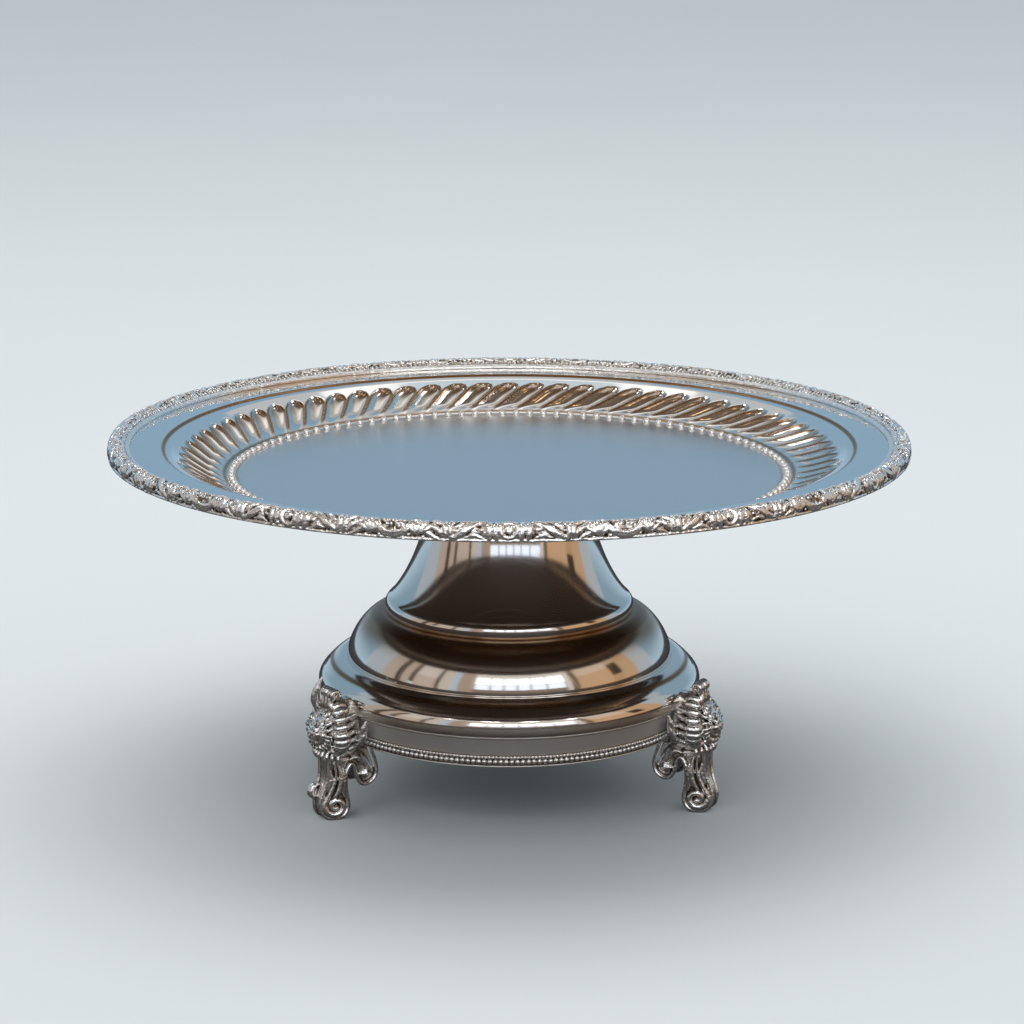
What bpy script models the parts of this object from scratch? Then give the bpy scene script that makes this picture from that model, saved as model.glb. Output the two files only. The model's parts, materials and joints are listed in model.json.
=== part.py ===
"""A footed silver salver, as separate pieces.

A pressed tray carries a cast border in six soldered sections. A stud under the
tray clamps it to a spun neck, which stands on a stepped spun base with a ring, a
bead wire and three cast shell feet. Metres, +Z up. The origin is on the axis, at
the level of the feet.
"""

import math

import bmesh
import bpy

MM = 0.001
CLEARANCE = 0.3 * MM  # kept between pieces that touch

# Overall
OVERALL_DIAMETER = 330.0 * MM
OVERALL_HEIGHT = 151.5 * MM

# Tray: a flat rim, a small step, a cove, and a wall down to the flat well
TRAY_SHEET = 1.2 * MM
RIM_FLAT = 13.4 * MM
RIM_STEP = 0.8 * MM
COVE_WIDTH = 2.8 * MM
COVE_DROP = 0.6 * MM
WALL_WIDTH = 21.5 * MM
WALL_FOOT_WIDTH = 2.0 * MM
WALL_FOOT_RISE = 0.8 * MM
WELL_DEPTH = 12.5 * MM

# Border: an L-shaped casting that sits on the rim and laps over its edge
BORDER_SECTIONS = 6
BORDER_WIDTH = 9.0 * MM
BORDER_CREST = 4.5 * MM  # above the rim
BORDER_DROP = 3.0 * MM  # below the rim's upper face
BORDER_LIP = 2.2 * MM
BORDER_INNER_EDGE = 1.2 * MM
BORDER_CROWN_INSET = 4.0 * MM  # from the outside to the top of the crown
BORDER_FIRST_SEAM = 15.0  # degrees from +X

# Clamp that holds the tray on the pedestal
BOSS_RADIUS = 30.0 * MM
BOSS_THICKNESS = 2.5 * MM
STUD_RADIUS = 3.0 * MM
STUD_LENGTH = 15.0 * MM
WASHER_RADIUS = 12.0 * MM
WASHER_THICKNESS = 1.5 * MM
NUT_ACROSS_FLATS = 10.0 * MM
NUT_THICKNESS = 5.0 * MM

# Neck: a spun trumpet with a flared top and a rounded, undercut foot
NECK_WALL = 1.0 * MM
NECK_WAIST_RADIUS = 34.2 * MM
NECK_TOP_FLARE = 1.8 * MM  # added to the waist radius at the tray
NECK_FLARE_HEIGHT = 12.0 * MM
NECK_FOOT_FLARE = 16.6 * MM  # added to the waist radius at the foot's nose
NECK_SHOULDER_ANGLE = 50  # where the flare meets the nose's round, in degrees
NECK_WAIST_DROP = 14.0 * MM  # how far the waist's upright line pulls the flare
NECK_SHOULDER_RUN = 7.0 * MM  # how far the shoulder's slope pulls the flare
NECK_NOSE_RADIUS = 3.2 * MM
NECK_NOSE_HEIGHT = 3.8 * MM  # above the base's ledge
NECK_UNDERCUT = 6.5 * MM  # half height of the ellipse below the nose

# Base: two stepped domes over a plain band
BASE_WALL = 1.0 * MM
BASE_LEDGE = 4.0 * MM
BASE_COLLAR = 2.0 * MM  # height of the lip that locates the neck
COLLAR_GAP = 1.0 * MM  # between that lip and the inside of the neck
UPPER_STEP = 16.0 * MM  # from the neck's nose out to the upper dome's side
UPPER_DOME_HEIGHT = 19.9 * MM
UPPER_DOME_SIDE = 2.0 * MM
DOME_CREASE = 0.4 * MM  # how far the crease is cut in under the upper dome
LOWER_STEP = 12.0 * MM  # from the upper dome's side out to the band
LOWER_DOME_HEIGHT = 5.9 * MM
BAND_HEIGHT = 4.9 * MM
BAND_TOP_INSET = 0.3 * MM
BAND_FOOT_INSET = 0.5 * MM

# Base ring and the bead wire soldered around its lower edge
RING_HEIGHT = 13.9 * MM
RING_WALL = 1.5 * MM
RING_INSET = 0.8 * MM  # from the base's outside in to the ring's
RING_TAPER = 2.1 * MM
RING_REBATE_HEIGHT = 3.8 * MM
RING_REBATE_DEPTH = 1.7 * MM
RING_FILLET_HEIGHT = 1.1 * MM
WIRE_RADIUS = 1.05 * MM

# Feet: three castings, each an arched leg under a shell
FOOT_HEIGHT = 29.5 * MM  # ground to the underside of the ring
FOOT_ANGLES = {"foot_left": -146.24, "foot_right": -26.24, "foot_rear": 93.76}
FOOT_REACH = 9.4 * MM  # from the base's outside to the middle of the toe
TOE_RADIUS = 6.2 * MM
TOE_FLAT_DEPTH = 0.3 * MM  # ground off the toe so that it stands flat
LEG_WIDTH = 11.0 * MM
LEG_CHAMFER = 1.2 * MM
LEG_TOP_OVERHANG = 2.8 * MM  # the leg's outer edge beyond the toe's middle
LEG_LAP = 1.5 * MM  # how far the leg reaches up into the shell
LEG_ANKLE_SWELL = 1.2 * MM  # the outer edge beyond its own top, low down
LEG_WAIST_DIP = 0.8 * MM  # and short of it, higher up
LOBE_RADIUS = 4.8 * MM
LOBE_SETBACK = 14.4 * MM  # from the toe's middle in to the lobe's middle
LOBE_DROP = 11.6 * MM  # from the ring's underside down to the lobe's middle
ARCH_RISE = 5.4 * MM
SHELL_HEIGHT = 27.0 * MM
SHELL_HALF_WIDTH = 13.0 * MM
SHELL_DEPTH = 15.0 * MM
SHELL_SIDE_SHARE = 0.72  # depth of the shell's sides, as a share of its middle's
SHELL_TOP_LEAN = 3.0 * MM  # how far its back leans in over the dome
SHELL_LAP = 3.5 * MM  # how far the shell reaches below the ring
SCROLL_RADIUS = 3.0 * MM
SCROLL_REACH = 9.4 * MM  # from the shell's back to the scroll's middle
SCROLL_HALF_WIDTH = 6.0 * MM

# Facets
TRAY_FACETS = 72
PEDESTAL_FACETS = 60
SMALL_FACETS = 24
WIRE_FACETS = 8

# Radii that follow from the sizes above
BORDER_RADIUS = OVERALL_DIAMETER / 2
TRAY_RADIUS = BORDER_RADIUS - BORDER_LIP - CLEARANCE
RIM_INNER_RADIUS = BORDER_RADIUS - BORDER_WIDTH - RIM_FLAT
WALL_TOP_RADIUS = RIM_INNER_RADIUS - RIM_STEP - COVE_WIDTH
WALL_FOOT_RADIUS = WALL_TOP_RADIUS - WALL_WIDTH
HOLE_RADIUS = STUD_RADIUS + CLEARANCE
NOSE_RADIUS = NECK_WAIST_RADIUS + NECK_FOOT_FLARE
UPPER_DOME_RADIUS = NOSE_RADIUS + UPPER_STEP
BASE_RADIUS = UPPER_DOME_RADIUS + LOWER_STEP
RING_TOP_RADIUS = BASE_RADIUS - RING_INSET
RING_FOOT_RADIUS = RING_TOP_RADIUS - RING_TAPER
REBATE_RADIUS = RING_FOOT_RADIUS - RING_REBATE_DEPTH
WIRE_CIRCLE_RADIUS = REBATE_RADIUS + CLEARANCE + WIRE_RADIUS
FOOT_BACK_RADIUS = BASE_RADIUS + CLEARANCE
TOE_CENTRE_RADIUS = BASE_RADIUS + FOOT_REACH

# Levels that follow from the sizes above
RIM_LEVEL = OVERALL_HEIGHT - BORDER_CREST
WELL_LEVEL = RIM_LEVEL - WELL_DEPTH
BOSS_LEVEL = WELL_LEVEL - TRAY_SHEET - CLEARANCE  # the boss's upper face
NECK_LEVEL = BOSS_LEVEL - BOSS_THICKNESS - CLEARANCE  # the neck's upper face
WASHER_LEVEL = NECK_LEVEL - NECK_WALL - CLEARANCE
NUT_LEVEL = WASHER_LEVEL - WASHER_THICKNESS - CLEARANCE
RING_LEVEL = FOOT_HEIGHT + RING_HEIGHT
BASE_LEVEL = RING_LEVEL + CLEARANCE
BAND_LEVEL = BASE_LEVEL + BAND_HEIGHT
CREASE_LEVEL = BAND_LEVEL + LOWER_DOME_HEIGHT
LEDGE_LEVEL = CREASE_LEVEL + UPPER_DOME_HEIGHT
NOSE_LEVEL = LEDGE_LEVEL + NECK_NOSE_HEIGHT


def metal(name, colour, roughness):
    """A metal of this linear colour."""
    material = bpy.data.materials.new(name)
    material.use_nodes = True
    shader = material.node_tree.nodes["Principled BSDF"]
    shader.inputs["Base Color"].default_value = (*colour, 1.0)
    shader.inputs["Metallic"].default_value = 1.0
    shader.inputs["Roughness"].default_value = roughness
    return material


def add_object(name, mesh, material):
    """A smooth-shaded object with its own material."""
    mesh.materials.clear()
    mesh.materials.append(material)
    mesh.shade_smooth()
    mesh.set_sharp_from_angle(angle=math.radians(32))
    piece = bpy.data.objects.new(name, mesh)
    bpy.context.scene.collection.objects.link(piece)
    return piece


def arc(centre, radii, first, last, steps):
    """Points on an ellipse, from one angle to another in degrees."""
    points = []
    for step in range(steps + 1):
        angle = math.radians(first + (last - first) * step / steps)
        across = centre[0] + radii[0] * math.cos(angle)
        up = centre[1] + radii[1] * math.sin(angle)
        points.append((across, up))
    return points


def bezier(start, leave, arrive, end, steps):
    """Points on a cubic curve, with its first point left out."""
    points = []
    for step in range(1, steps + 1):
        t = step / steps
        weights = ((1 - t) ** 3, 3 * t * (1 - t) ** 2, 3 * t * t * (1 - t), t**3)
        corners = (start, leave, arrive, end)
        across = sum(weight * corner[0] for weight, corner in zip(weights, corners))
        up = sum(weight * corner[1] for weight, corner in zip(weights, corners))
        points.append((across, up))
    return points


def set_back(line, distance, closed=False):
    """The line moved to its right by the distance, with mitred corners."""
    count = len(line)
    moved = []
    for index, (across, up) in enumerate(line):
        neighbours = []
        if closed or index > 0:
            neighbours.append((line[index - 1], line[index]))
        if closed or index < count - 1:
            neighbours.append((line[index], line[(index + 1) % count]))
        normals = []
        for (from_across, from_up), (to_across, to_up) in neighbours:
            length = math.hypot(to_across - from_across, to_up - from_up)
            normals.append(((to_up - from_up) / length, (from_across - to_across) / length))
        normal_across = sum(normal[0] for normal in normals)
        normal_up = sum(normal[1] for normal in normals)
        scale = len(normals) * distance / (normal_across**2 + normal_up**2)
        moved.append((across + normal_across * scale, up + normal_up * scale))
    return moved


def sheet(line, thickness):
    """The closed outline of a sheet whose outer face follows the line."""
    return line + set_back(line, thickness)[::-1]


def turned(name, outline, material, facets, start=0.0, sweep=360.0):
    """A solid made by spinning a closed (radius, height) outline about Z."""
    whole = sweep == 360.0
    build = bmesh.new()
    profile = build.faces.new([build.verts.new((radius, 0, height)) for radius, height in outline])
    geometry = list(profile.verts) + list(profile.edges)
    if whole:
        build.faces.remove(profile)
    else:
        geometry.append(profile)
    bmesh.ops.spin(
        build,
        geom=geometry,
        cent=(0, 0, 0),
        axis=(0, 0, 1),
        angle=math.radians(sweep),
        steps=facets,
        use_merge=whole,
    )
    bmesh.ops.remove_doubles(build, verts=build.verts, dist=0.001 * MM)
    bmesh.ops.recalc_face_normals(build, faces=build.faces)
    mesh = bpy.data.meshes.new(name)
    build.to_mesh(mesh)
    build.free()
    piece = add_object(name, mesh, material)
    piece.rotation_euler.z = math.radians(start)
    return piece


def lofted(name, loops, capped=True):
    """A closed mesh through loops of equal count, either capped or back round to the first."""
    build = bmesh.new()
    rings = [[build.verts.new(point) for point in loop] for loop in loops]
    following = rings[1:] if capped else rings[1:] + rings[:1]
    for lower, upper in zip(rings, following):
        for index, corner in enumerate(lower):
            after = (index + 1) % len(lower)
            build.faces.new((corner, lower[after], upper[after], upper[index]))
    if capped:
        build.faces.new(rings[0])
        build.faces.new(rings[-1])
    bmesh.ops.recalc_face_normals(build, faces=build.faces)
    mesh = bpy.data.meshes.new(name)
    build.to_mesh(mesh)
    build.free()
    return mesh


def build_tray():
    """Pressed sheet tray, from the middle of the well out to the rim's edge."""
    face = [
        (0.0, WELL_LEVEL),
        (WALL_FOOT_RADIUS - WALL_FOOT_WIDTH, WELL_LEVEL),
        (WALL_FOOT_RADIUS, WELL_LEVEL + WALL_FOOT_RISE),
        (WALL_TOP_RADIUS, RIM_LEVEL - RIM_STEP - COVE_DROP),
        (WALL_TOP_RADIUS + COVE_WIDTH, RIM_LEVEL - RIM_STEP),
        (RIM_INNER_RADIUS, RIM_LEVEL),
        (TRAY_RADIUS, RIM_LEVEL),
    ]
    polished = metal("tray_silver", (0.88, 0.88, 0.87), 0.06)
    turned("tray", sheet(face, TRAY_SHEET), polished, TRAY_FACETS)


def build_border():
    """Cast border sections with a rounded crown, parted by narrow seams."""
    inner = BORDER_RADIUS - BORDER_WIDTH
    seat = RIM_LEVEL + CLEARANCE
    crown = BORDER_RADIUS - BORDER_CROWN_INSET
    shoulder = RIM_LEVEL + BORDER_INNER_EDGE
    lip_inner = BORDER_RADIUS - BORDER_LIP
    lip_round = BORDER_LIP / 2
    outline = [(lip_inner, seat), (inner, seat)]
    inner_radii = (crown - inner, BORDER_CREST - BORDER_INNER_EDGE)
    outer_radii = (BORDER_CROWN_INSET, OVERALL_HEIGHT - seat)
    lip_radii = (lip_round, BORDER_DROP + CLEARANCE)
    outline += arc((crown, shoulder), inner_radii, 180, 90, 3)
    outline += arc((crown, seat), outer_radii, 90, 0, 4)[1:]
    outline += arc((BORDER_RADIUS - lip_round, seat), lip_radii, 0, -90, 2)[1:]
    outline.append((lip_inner, RIM_LEVEL - BORDER_DROP))
    sweep = 360.0 / BORDER_SECTIONS
    seam = math.degrees(CLEARANCE / BORDER_RADIUS)
    facets = TRAY_FACETS // BORDER_SECTIONS
    for number in range(BORDER_SECTIONS):
        name = f"border_section_{number + 1}"
        cast = metal(f"{name}_silver", (0.80, 0.78, 0.75), 0.22)
        start = BORDER_FIRST_SEAM + number * sweep + seam / 2
        turned(name, outline, cast, facets, start, sweep - seam)


def build_clamp():
    """Boss soldered under the tray, its stud, and the washer and nut below."""
    steel = (0.55, 0.55, 0.56)
    boss = [
        (HOLE_RADIUS, BOSS_LEVEL - BOSS_THICKNESS),
        (BOSS_RADIUS, BOSS_LEVEL - BOSS_THICKNESS),
        (BOSS_RADIUS, BOSS_LEVEL),
        (HOLE_RADIUS, BOSS_LEVEL),
    ]
    turned("tray_boss", boss, metal("boss_metal", (0.75, 0.70, 0.60), 0.35), 2 * SMALL_FACETS)
    stud_end = BOSS_LEVEL - STUD_LENGTH
    chamfer = STUD_RADIUS / 4
    stud = [
        (0.0, stud_end),
        (STUD_RADIUS - chamfer, stud_end),
        (STUD_RADIUS, stud_end + chamfer),
        (STUD_RADIUS, BOSS_LEVEL),
        (0.0, BOSS_LEVEL),
    ]
    turned("tray_stud", stud, metal("stud_steel", steel, 0.35), SMALL_FACETS)
    washer = [
        (HOLE_RADIUS, WASHER_LEVEL - WASHER_THICKNESS),
        (WASHER_RADIUS, WASHER_LEVEL - WASHER_THICKNESS),
        (WASHER_RADIUS, WASHER_LEVEL),
        (HOLE_RADIUS, WASHER_LEVEL),
    ]
    turned("clamp_washer", washer, metal("washer_steel", steel, 0.30), SMALL_FACETS)
    add_object("clamp_nut", build_nut_mesh(), metal("nut_steel", steel, 0.30))


def build_nut_mesh():
    """Hexagon nut with a plain bore that clears the stud."""
    corners = []
    for radius_of, level in (
        (lambda angle: HOLE_RADIUS, NUT_LEVEL - NUT_THICKNESS),
        (hexagon_radius, NUT_LEVEL - NUT_THICKNESS),
        (hexagon_radius, NUT_LEVEL),
        (lambda angle: HOLE_RADIUS, NUT_LEVEL),
    ):
        loop = []
        for step in range(SMALL_FACETS):
            angle = 2 * math.pi * step / SMALL_FACETS
            radius = radius_of(angle)
            loop.append((radius * math.cos(angle), radius * math.sin(angle), level))
        corners.append(loop)
    return lofted("clamp_nut", corners, capped=False)


def hexagon_radius(angle):
    """Distance from the middle of the nut to its side at this angle."""
    sector = math.pi / 3
    return NUT_ACROSS_FLATS / 2 / math.cos((angle + sector / 2) % sector - sector / 2)


def build_neck():
    """Spun neck: closed top, flared waist, and a rounded foot on the base's ledge."""
    top_radius = NECK_WAIST_RADIUS + NECK_TOP_FLARE
    waist = (NECK_WAIST_RADIUS, NECK_LEVEL - NECK_FLARE_HEIGHT)
    nose_centre = (NOSE_RADIUS - NECK_NOSE_RADIUS, NOSE_LEVEL)
    round_nose = (NECK_NOSE_RADIUS, NECK_NOSE_RADIUS)
    shoulder = arc(nose_centre, round_nose, NECK_SHOULDER_ANGLE, 0, 3)
    slope = math.radians(NECK_SHOULDER_ANGLE)
    run = (-NECK_SHOULDER_RUN * math.sin(slope), NECK_SHOULDER_RUN * math.cos(slope))
    foot_rise = NECK_NOSE_HEIGHT - CLEARANCE
    foot_angle = -math.degrees(math.asin(foot_rise / NECK_UNDERCUT))
    face = [(HOLE_RADIUS, NECK_LEVEL), (top_radius, NECK_LEVEL)]
    face += bezier(
        face[-1],
        (NECK_WAIST_RADIUS + 0.4 * NECK_TOP_FLARE, NECK_LEVEL - 0.2 * NECK_FLARE_HEIGHT),
        (NECK_WAIST_RADIUS, NECK_LEVEL - 0.6 * NECK_FLARE_HEIGHT),
        waist,
        3,
    )
    face += bezier(
        waist,
        (waist[0], waist[1] - NECK_WAIST_DROP),
        (shoulder[0][0] + run[0], shoulder[0][1] + run[1]),
        shoulder[0],
        7,
    )
    face += shoulder[1:]
    face += arc(nose_centre, (NECK_NOSE_RADIUS, NECK_UNDERCUT), 0, foot_angle, 2)[1:]
    polished = metal("neck_silver", (0.88, 0.88, 0.87), 0.05)
    turned("pedestal_neck", sheet(face, NECK_WALL), polished, PEDESTAL_FACETS)


def build_base():
    """Spun base: a collar and ledge under the neck, two domes, and a band."""
    collar = NOSE_RADIUS - NECK_WALL - COLLAR_GAP - CLEARANCE
    ledge_end = (collar + BASE_LEDGE, LEDGE_LEVEL)
    side_top = (UPPER_DOME_RADIUS, CREASE_LEVEL + UPPER_DOME_SIDE)
    crease = (UPPER_DOME_RADIUS - DOME_CREASE, CREASE_LEVEL)
    shoulder = (BASE_RADIUS - 0.2 * LOWER_STEP, BAND_LEVEL + 0.4 * LOWER_DOME_HEIGHT)
    face = [(collar, LEDGE_LEVEL + BASE_COLLAR), (collar, LEDGE_LEVEL), ledge_end]
    face += bezier(
        ledge_end,
        (ledge_end[0] + 0.45 * UPPER_STEP, LEDGE_LEVEL),
        (side_top[0], side_top[1] + 0.32 * UPPER_DOME_HEIGHT),
        side_top,
        7,
    )
    face.append(crease)
    face += bezier(
        crease,
        (crease[0] + 0.25 * LOWER_STEP, CREASE_LEVEL + 0.42 * LOWER_DOME_HEIGHT),
        (crease[0] + 0.55 * LOWER_STEP, CREASE_LEVEL + 0.05 * LOWER_DOME_HEIGHT),
        shoulder,
        4,
    )
    face.append((BASE_RADIUS - BAND_TOP_INSET, BAND_LEVEL))
    face.append((BASE_RADIUS, BASE_LEVEL + 0.6 * BAND_HEIGHT))
    face.append((BASE_RADIUS - BAND_FOOT_INSET, BASE_LEVEL))
    polished = metal("base_silver", (0.88, 0.88, 0.87), 0.05)
    turned("pedestal_base", sheet(face, BASE_WALL), polished, PEDESTAL_FACETS)


def build_ring():
    """Tapered ring under the base, with a rebate for the bead wire."""
    rebate_level = FOOT_HEIGHT + RING_REBATE_HEIGHT
    fillet_level = rebate_level + RING_FILLET_HEIGHT
    outline = [
        (REBATE_RADIUS - RING_WALL, FOOT_HEIGHT),
        (REBATE_RADIUS, FOOT_HEIGHT),
        (REBATE_RADIUS, rebate_level),
        (RING_FOOT_RADIUS, rebate_level),
        (RING_FOOT_RADIUS, fillet_level),
        (RING_TOP_RADIUS, RING_LEVEL),
        (RING_TOP_RADIUS - RING_WALL, RING_LEVEL),
        (REBATE_RADIUS - RING_WALL, fillet_level),
    ]
    satin = metal("ring_silver", (0.80, 0.79, 0.77), 0.20)
    turned("base_ring", outline, satin, PEDESTAL_FACETS)


def build_wire():
    """Plain round wire that stands for the beading around the ring's rebate."""
    level = FOOT_HEIGHT + RING_REBATE_HEIGHT - CLEARANCE - WIRE_RADIUS
    radii = (WIRE_RADIUS, WIRE_RADIUS)
    section = arc((WIRE_CIRCLE_RADIUS, level), radii, 0, 360, WIRE_FACETS)[:-1]
    cast = metal("wire_silver", (0.82, 0.80, 0.77), 0.18)
    turned("base_bead_wire", section, cast, PEDESTAL_FACETS)


def leg_outline():
    """Side view of the leg: toe, outer edge, arch, inner lobe, and back down."""
    toe = (TOE_CENTRE_RADIUS, TOE_RADIUS - TOE_FLAT_DEPTH)
    lobe = (TOE_CENTRE_RADIUS - LOBE_SETBACK, FOOT_HEIGHT - LOBE_DROP)
    outer = TOE_CENTRE_RADIUS + LEG_TOP_OVERHANG
    under_ring = FOOT_HEIGHT - CLEARANCE
    leg_top = FOOT_HEIGHT + LEG_LAP
    ground = math.degrees(math.asin(toe[1] / TOE_RADIUS))
    round_toe = (TOE_RADIUS, TOE_RADIUS)
    points = arc(toe, round_toe, -ground, 20, 5)
    points += bezier(
        points[-1],
        (outer + LEG_ANKLE_SWELL, 0.42 * FOOT_HEIGHT),
        (outer - LEG_WAIST_DIP, 0.7 * FOOT_HEIGHT),
        (outer, leg_top),
        4,
    )
    points.append((FOOT_BACK_RADIUS + CLEARANCE, leg_top))
    points.append((FOOT_BACK_RADIUS + CLEARANCE, under_ring))
    points.append((lobe[0] - 0.4 * LOBE_RADIUS, under_ring))
    points += arc(lobe, (LOBE_RADIUS, LOBE_RADIUS), 165, 360, 8)
    arch_half_width = (LOBE_SETBACK - LOBE_RADIUS - 0.75 * TOE_RADIUS) / 2
    arch = (lobe[0] + LOBE_RADIUS + arch_half_width, lobe[1])
    points += arc(arch, (arch_half_width, ARCH_RISE), 180, 0, 6)[1:]
    points += arc(toe, round_toe, 150, 180 + ground, 4)
    return points


def build_leg_mesh():
    """Leg and inner lobe, with chamfered sides."""
    outline = leg_outline()
    chamfered = set_back(outline, -LEG_CHAMFER, closed=True)
    half = LEG_WIDTH / 2
    stations = (
        (chamfered, -half),
        (outline, LEG_CHAMFER - half),
        (outline, half - LEG_CHAMFER),
        (chamfered, half),
    )
    loops = [[(across, side, max(up, 0.0)) for across, up in line] for line, side in stations]
    return lofted("leg", loops)


def build_shell_mesh():
    """Fan-shaped shell that backs on to the base and swells at mid height."""
    # height share, width share, depth share, lean share
    stations = (
        (0.00, 0.50, 0.74, 0.0),
        (0.15, 0.80, 0.92, 0.0),
        (0.40, 1.00, 1.00, 0.0),
        (0.65, 0.96, 0.93, 0.0),
        (0.85, 0.72, 0.86, 0.0),
        (1.00, 0.50, 0.86, 1.0),
    )
    columns = 8
    loops = []
    for height, width, depth, lean in stations:
        level = FOOT_HEIGHT - SHELL_LAP + height * SHELL_HEIGHT
        radius = FOOT_BACK_RADIUS - lean * SHELL_TOP_LEAN
        back = []
        front = []
        for column in range(columns + 1):
            share = 2 * column / columns - 1
            side = share * width * SHELL_HALF_WIDTH
            wall = math.sqrt(radius**2 - side**2)
            swell = SHELL_SIDE_SHARE + (1 - SHELL_SIDE_SHARE) * math.cos(share * math.pi / 2)
            back.append((wall, side, level))
            front.append((wall + depth * SHELL_DEPTH * swell, side, level))
        loops.append(back + front[::-1])
    return lofted("shell", loops)


def build_scroll_mesh():
    """Small roll across the top of the shell."""
    centre = (FOOT_BACK_RADIUS + SCROLL_REACH, FOOT_HEIGHT - SHELL_LAP + SHELL_HEIGHT)
    radii = (SCROLL_RADIUS, SCROLL_RADIUS)
    section = arc(centre, radii, 0, 360, 12)[:-1]
    sides = (-SCROLL_HALF_WIDTH, SCROLL_HALF_WIDTH)
    return lofted("scroll", [[(across, side, up) for across, up in section] for side in sides])


def build_feet():
    """Three equal castings, each the union of a leg, a shell and a scroll."""
    scene = bpy.context.scene
    body = bpy.data.objects.new("foot_body", build_leg_mesh())
    scene.collection.objects.link(body)
    helpers = [body]
    for mesh in (build_shell_mesh(), build_scroll_mesh()):
        helper = bpy.data.objects.new(mesh.name, mesh)
        helper.hide_render = True
        helper.display_type = "WIRE"
        scene.collection.objects.link(helper)
        join = body.modifiers.new(mesh.name, "BOOLEAN")
        join.operation = "UNION"
        join.solver = "EXACT"
        join.object = helper
        helpers.append(helper)
    graph = bpy.context.evaluated_depsgraph_get()
    casting = bpy.data.meshes.new_from_object(body.evaluated_get(graph))
    for helper in helpers:
        bpy.data.objects.remove(helper)
    for name, angle in FOOT_ANGLES.items():
        mesh = casting.copy()
        foot = add_object(name, mesh, metal(f"{name}_silver", (0.80, 0.78, 0.75), 0.22))
        foot.rotation_euler.z = math.radians(angle)


def main():
    for leftover in list(bpy.data.objects):
        bpy.data.objects.remove(leftover)
    build_tray()
    build_border()
    build_clamp()
    build_neck()
    build_base()
    build_ring()
    build_wire()
    build_feet()


main()
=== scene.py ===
"""Footed silver salver: the finished surfaces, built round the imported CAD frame."""

import json
import math

import bpy
import numpy as np
from bpy.props import (
    FloatProperty,
    FloatVectorProperty,
    IntProperty,
    PointerProperty,
)
from bpy.types import Operator, Panel, PropertyGroup
from mathutils import Matrix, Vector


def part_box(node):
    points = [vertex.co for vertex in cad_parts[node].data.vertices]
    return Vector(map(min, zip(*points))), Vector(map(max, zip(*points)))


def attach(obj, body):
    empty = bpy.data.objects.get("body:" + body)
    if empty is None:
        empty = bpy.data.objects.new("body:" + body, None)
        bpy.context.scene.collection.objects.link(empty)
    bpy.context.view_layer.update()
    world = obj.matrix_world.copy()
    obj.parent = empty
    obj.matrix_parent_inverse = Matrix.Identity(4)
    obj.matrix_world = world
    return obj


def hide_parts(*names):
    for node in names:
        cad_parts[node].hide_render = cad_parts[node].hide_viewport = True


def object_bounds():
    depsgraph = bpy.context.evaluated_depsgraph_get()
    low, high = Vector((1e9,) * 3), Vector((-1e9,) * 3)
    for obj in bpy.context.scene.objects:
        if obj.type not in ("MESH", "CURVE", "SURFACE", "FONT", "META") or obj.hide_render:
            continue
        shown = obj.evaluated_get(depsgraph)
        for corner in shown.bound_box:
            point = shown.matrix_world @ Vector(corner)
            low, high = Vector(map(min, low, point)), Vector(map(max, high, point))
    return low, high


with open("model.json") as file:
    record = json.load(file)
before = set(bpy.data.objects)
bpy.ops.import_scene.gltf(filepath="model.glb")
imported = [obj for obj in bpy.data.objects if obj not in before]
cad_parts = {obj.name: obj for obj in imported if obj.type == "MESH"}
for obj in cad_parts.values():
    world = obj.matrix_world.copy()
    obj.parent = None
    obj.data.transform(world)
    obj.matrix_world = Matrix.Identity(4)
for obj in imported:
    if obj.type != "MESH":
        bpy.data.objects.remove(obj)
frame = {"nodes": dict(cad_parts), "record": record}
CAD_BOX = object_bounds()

bl_info = {
    "name": "Silver Salver",
    "version": (1, 0, 0),
    "blender": (4, 5, 0),
    "location": "3D View > Sidebar > Salver",
    "description": "Builds a footed silver salver with a cast border and three cast feet",
    "category": "Object",
}

MM = 0.001

# Levels and radii that every piece is set out from.
RIM_RADIUS = CAD_BOX[1].x
CREST_LEVEL = CAD_BOX[1].z
TRAY_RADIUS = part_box("tray")[1].x
RIM_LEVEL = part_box("tray")[1].z
NECK_FOOT, NECK_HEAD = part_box("pedestal_neck")
BASE_FOOT, BASE_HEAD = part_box("pedestal_base")
RING_FOOT, RING_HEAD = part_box("base_ring")
WIRE_FOOT, WIRE_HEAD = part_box("base_bead_wire")
FOOT_SPOTS = {
    mount["name"].removesuffix("_ground"): mount["pos_m"]
    for mount in frame["record"]["mounts"]
    if mount["name"].startswith("foot_")
}
FOOT_ANGLES = {
    node: math.radians(round(math.degrees(math.atan2(y, x)), 2))
    for node, (x, y, _) in FOOT_SPOTS.items()
}
SPUN_WALL = 1.0 * MM  # thickness of the spun neck and base
SPUN_SEGMENTS = 256  # facets round each turned piece


# --- sizes and colours -------------------------------------------------------------


def length(name, text, millimetres):
    """A length property, kept in metres and shown in the scene's unit."""
    return FloatProperty(
        name=name,
        description=text,
        default=millimetres * MM,
        min=0.0,
        precision=5,
        unit="LENGTH",
    )


def colour(name, text, value):
    """A linear colour property."""
    return FloatVectorProperty(
        name=name,
        description=text,
        default=value,
        min=0.0,
        max=1.0,
        size=3,
        subtype="COLOR",
    )


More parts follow.
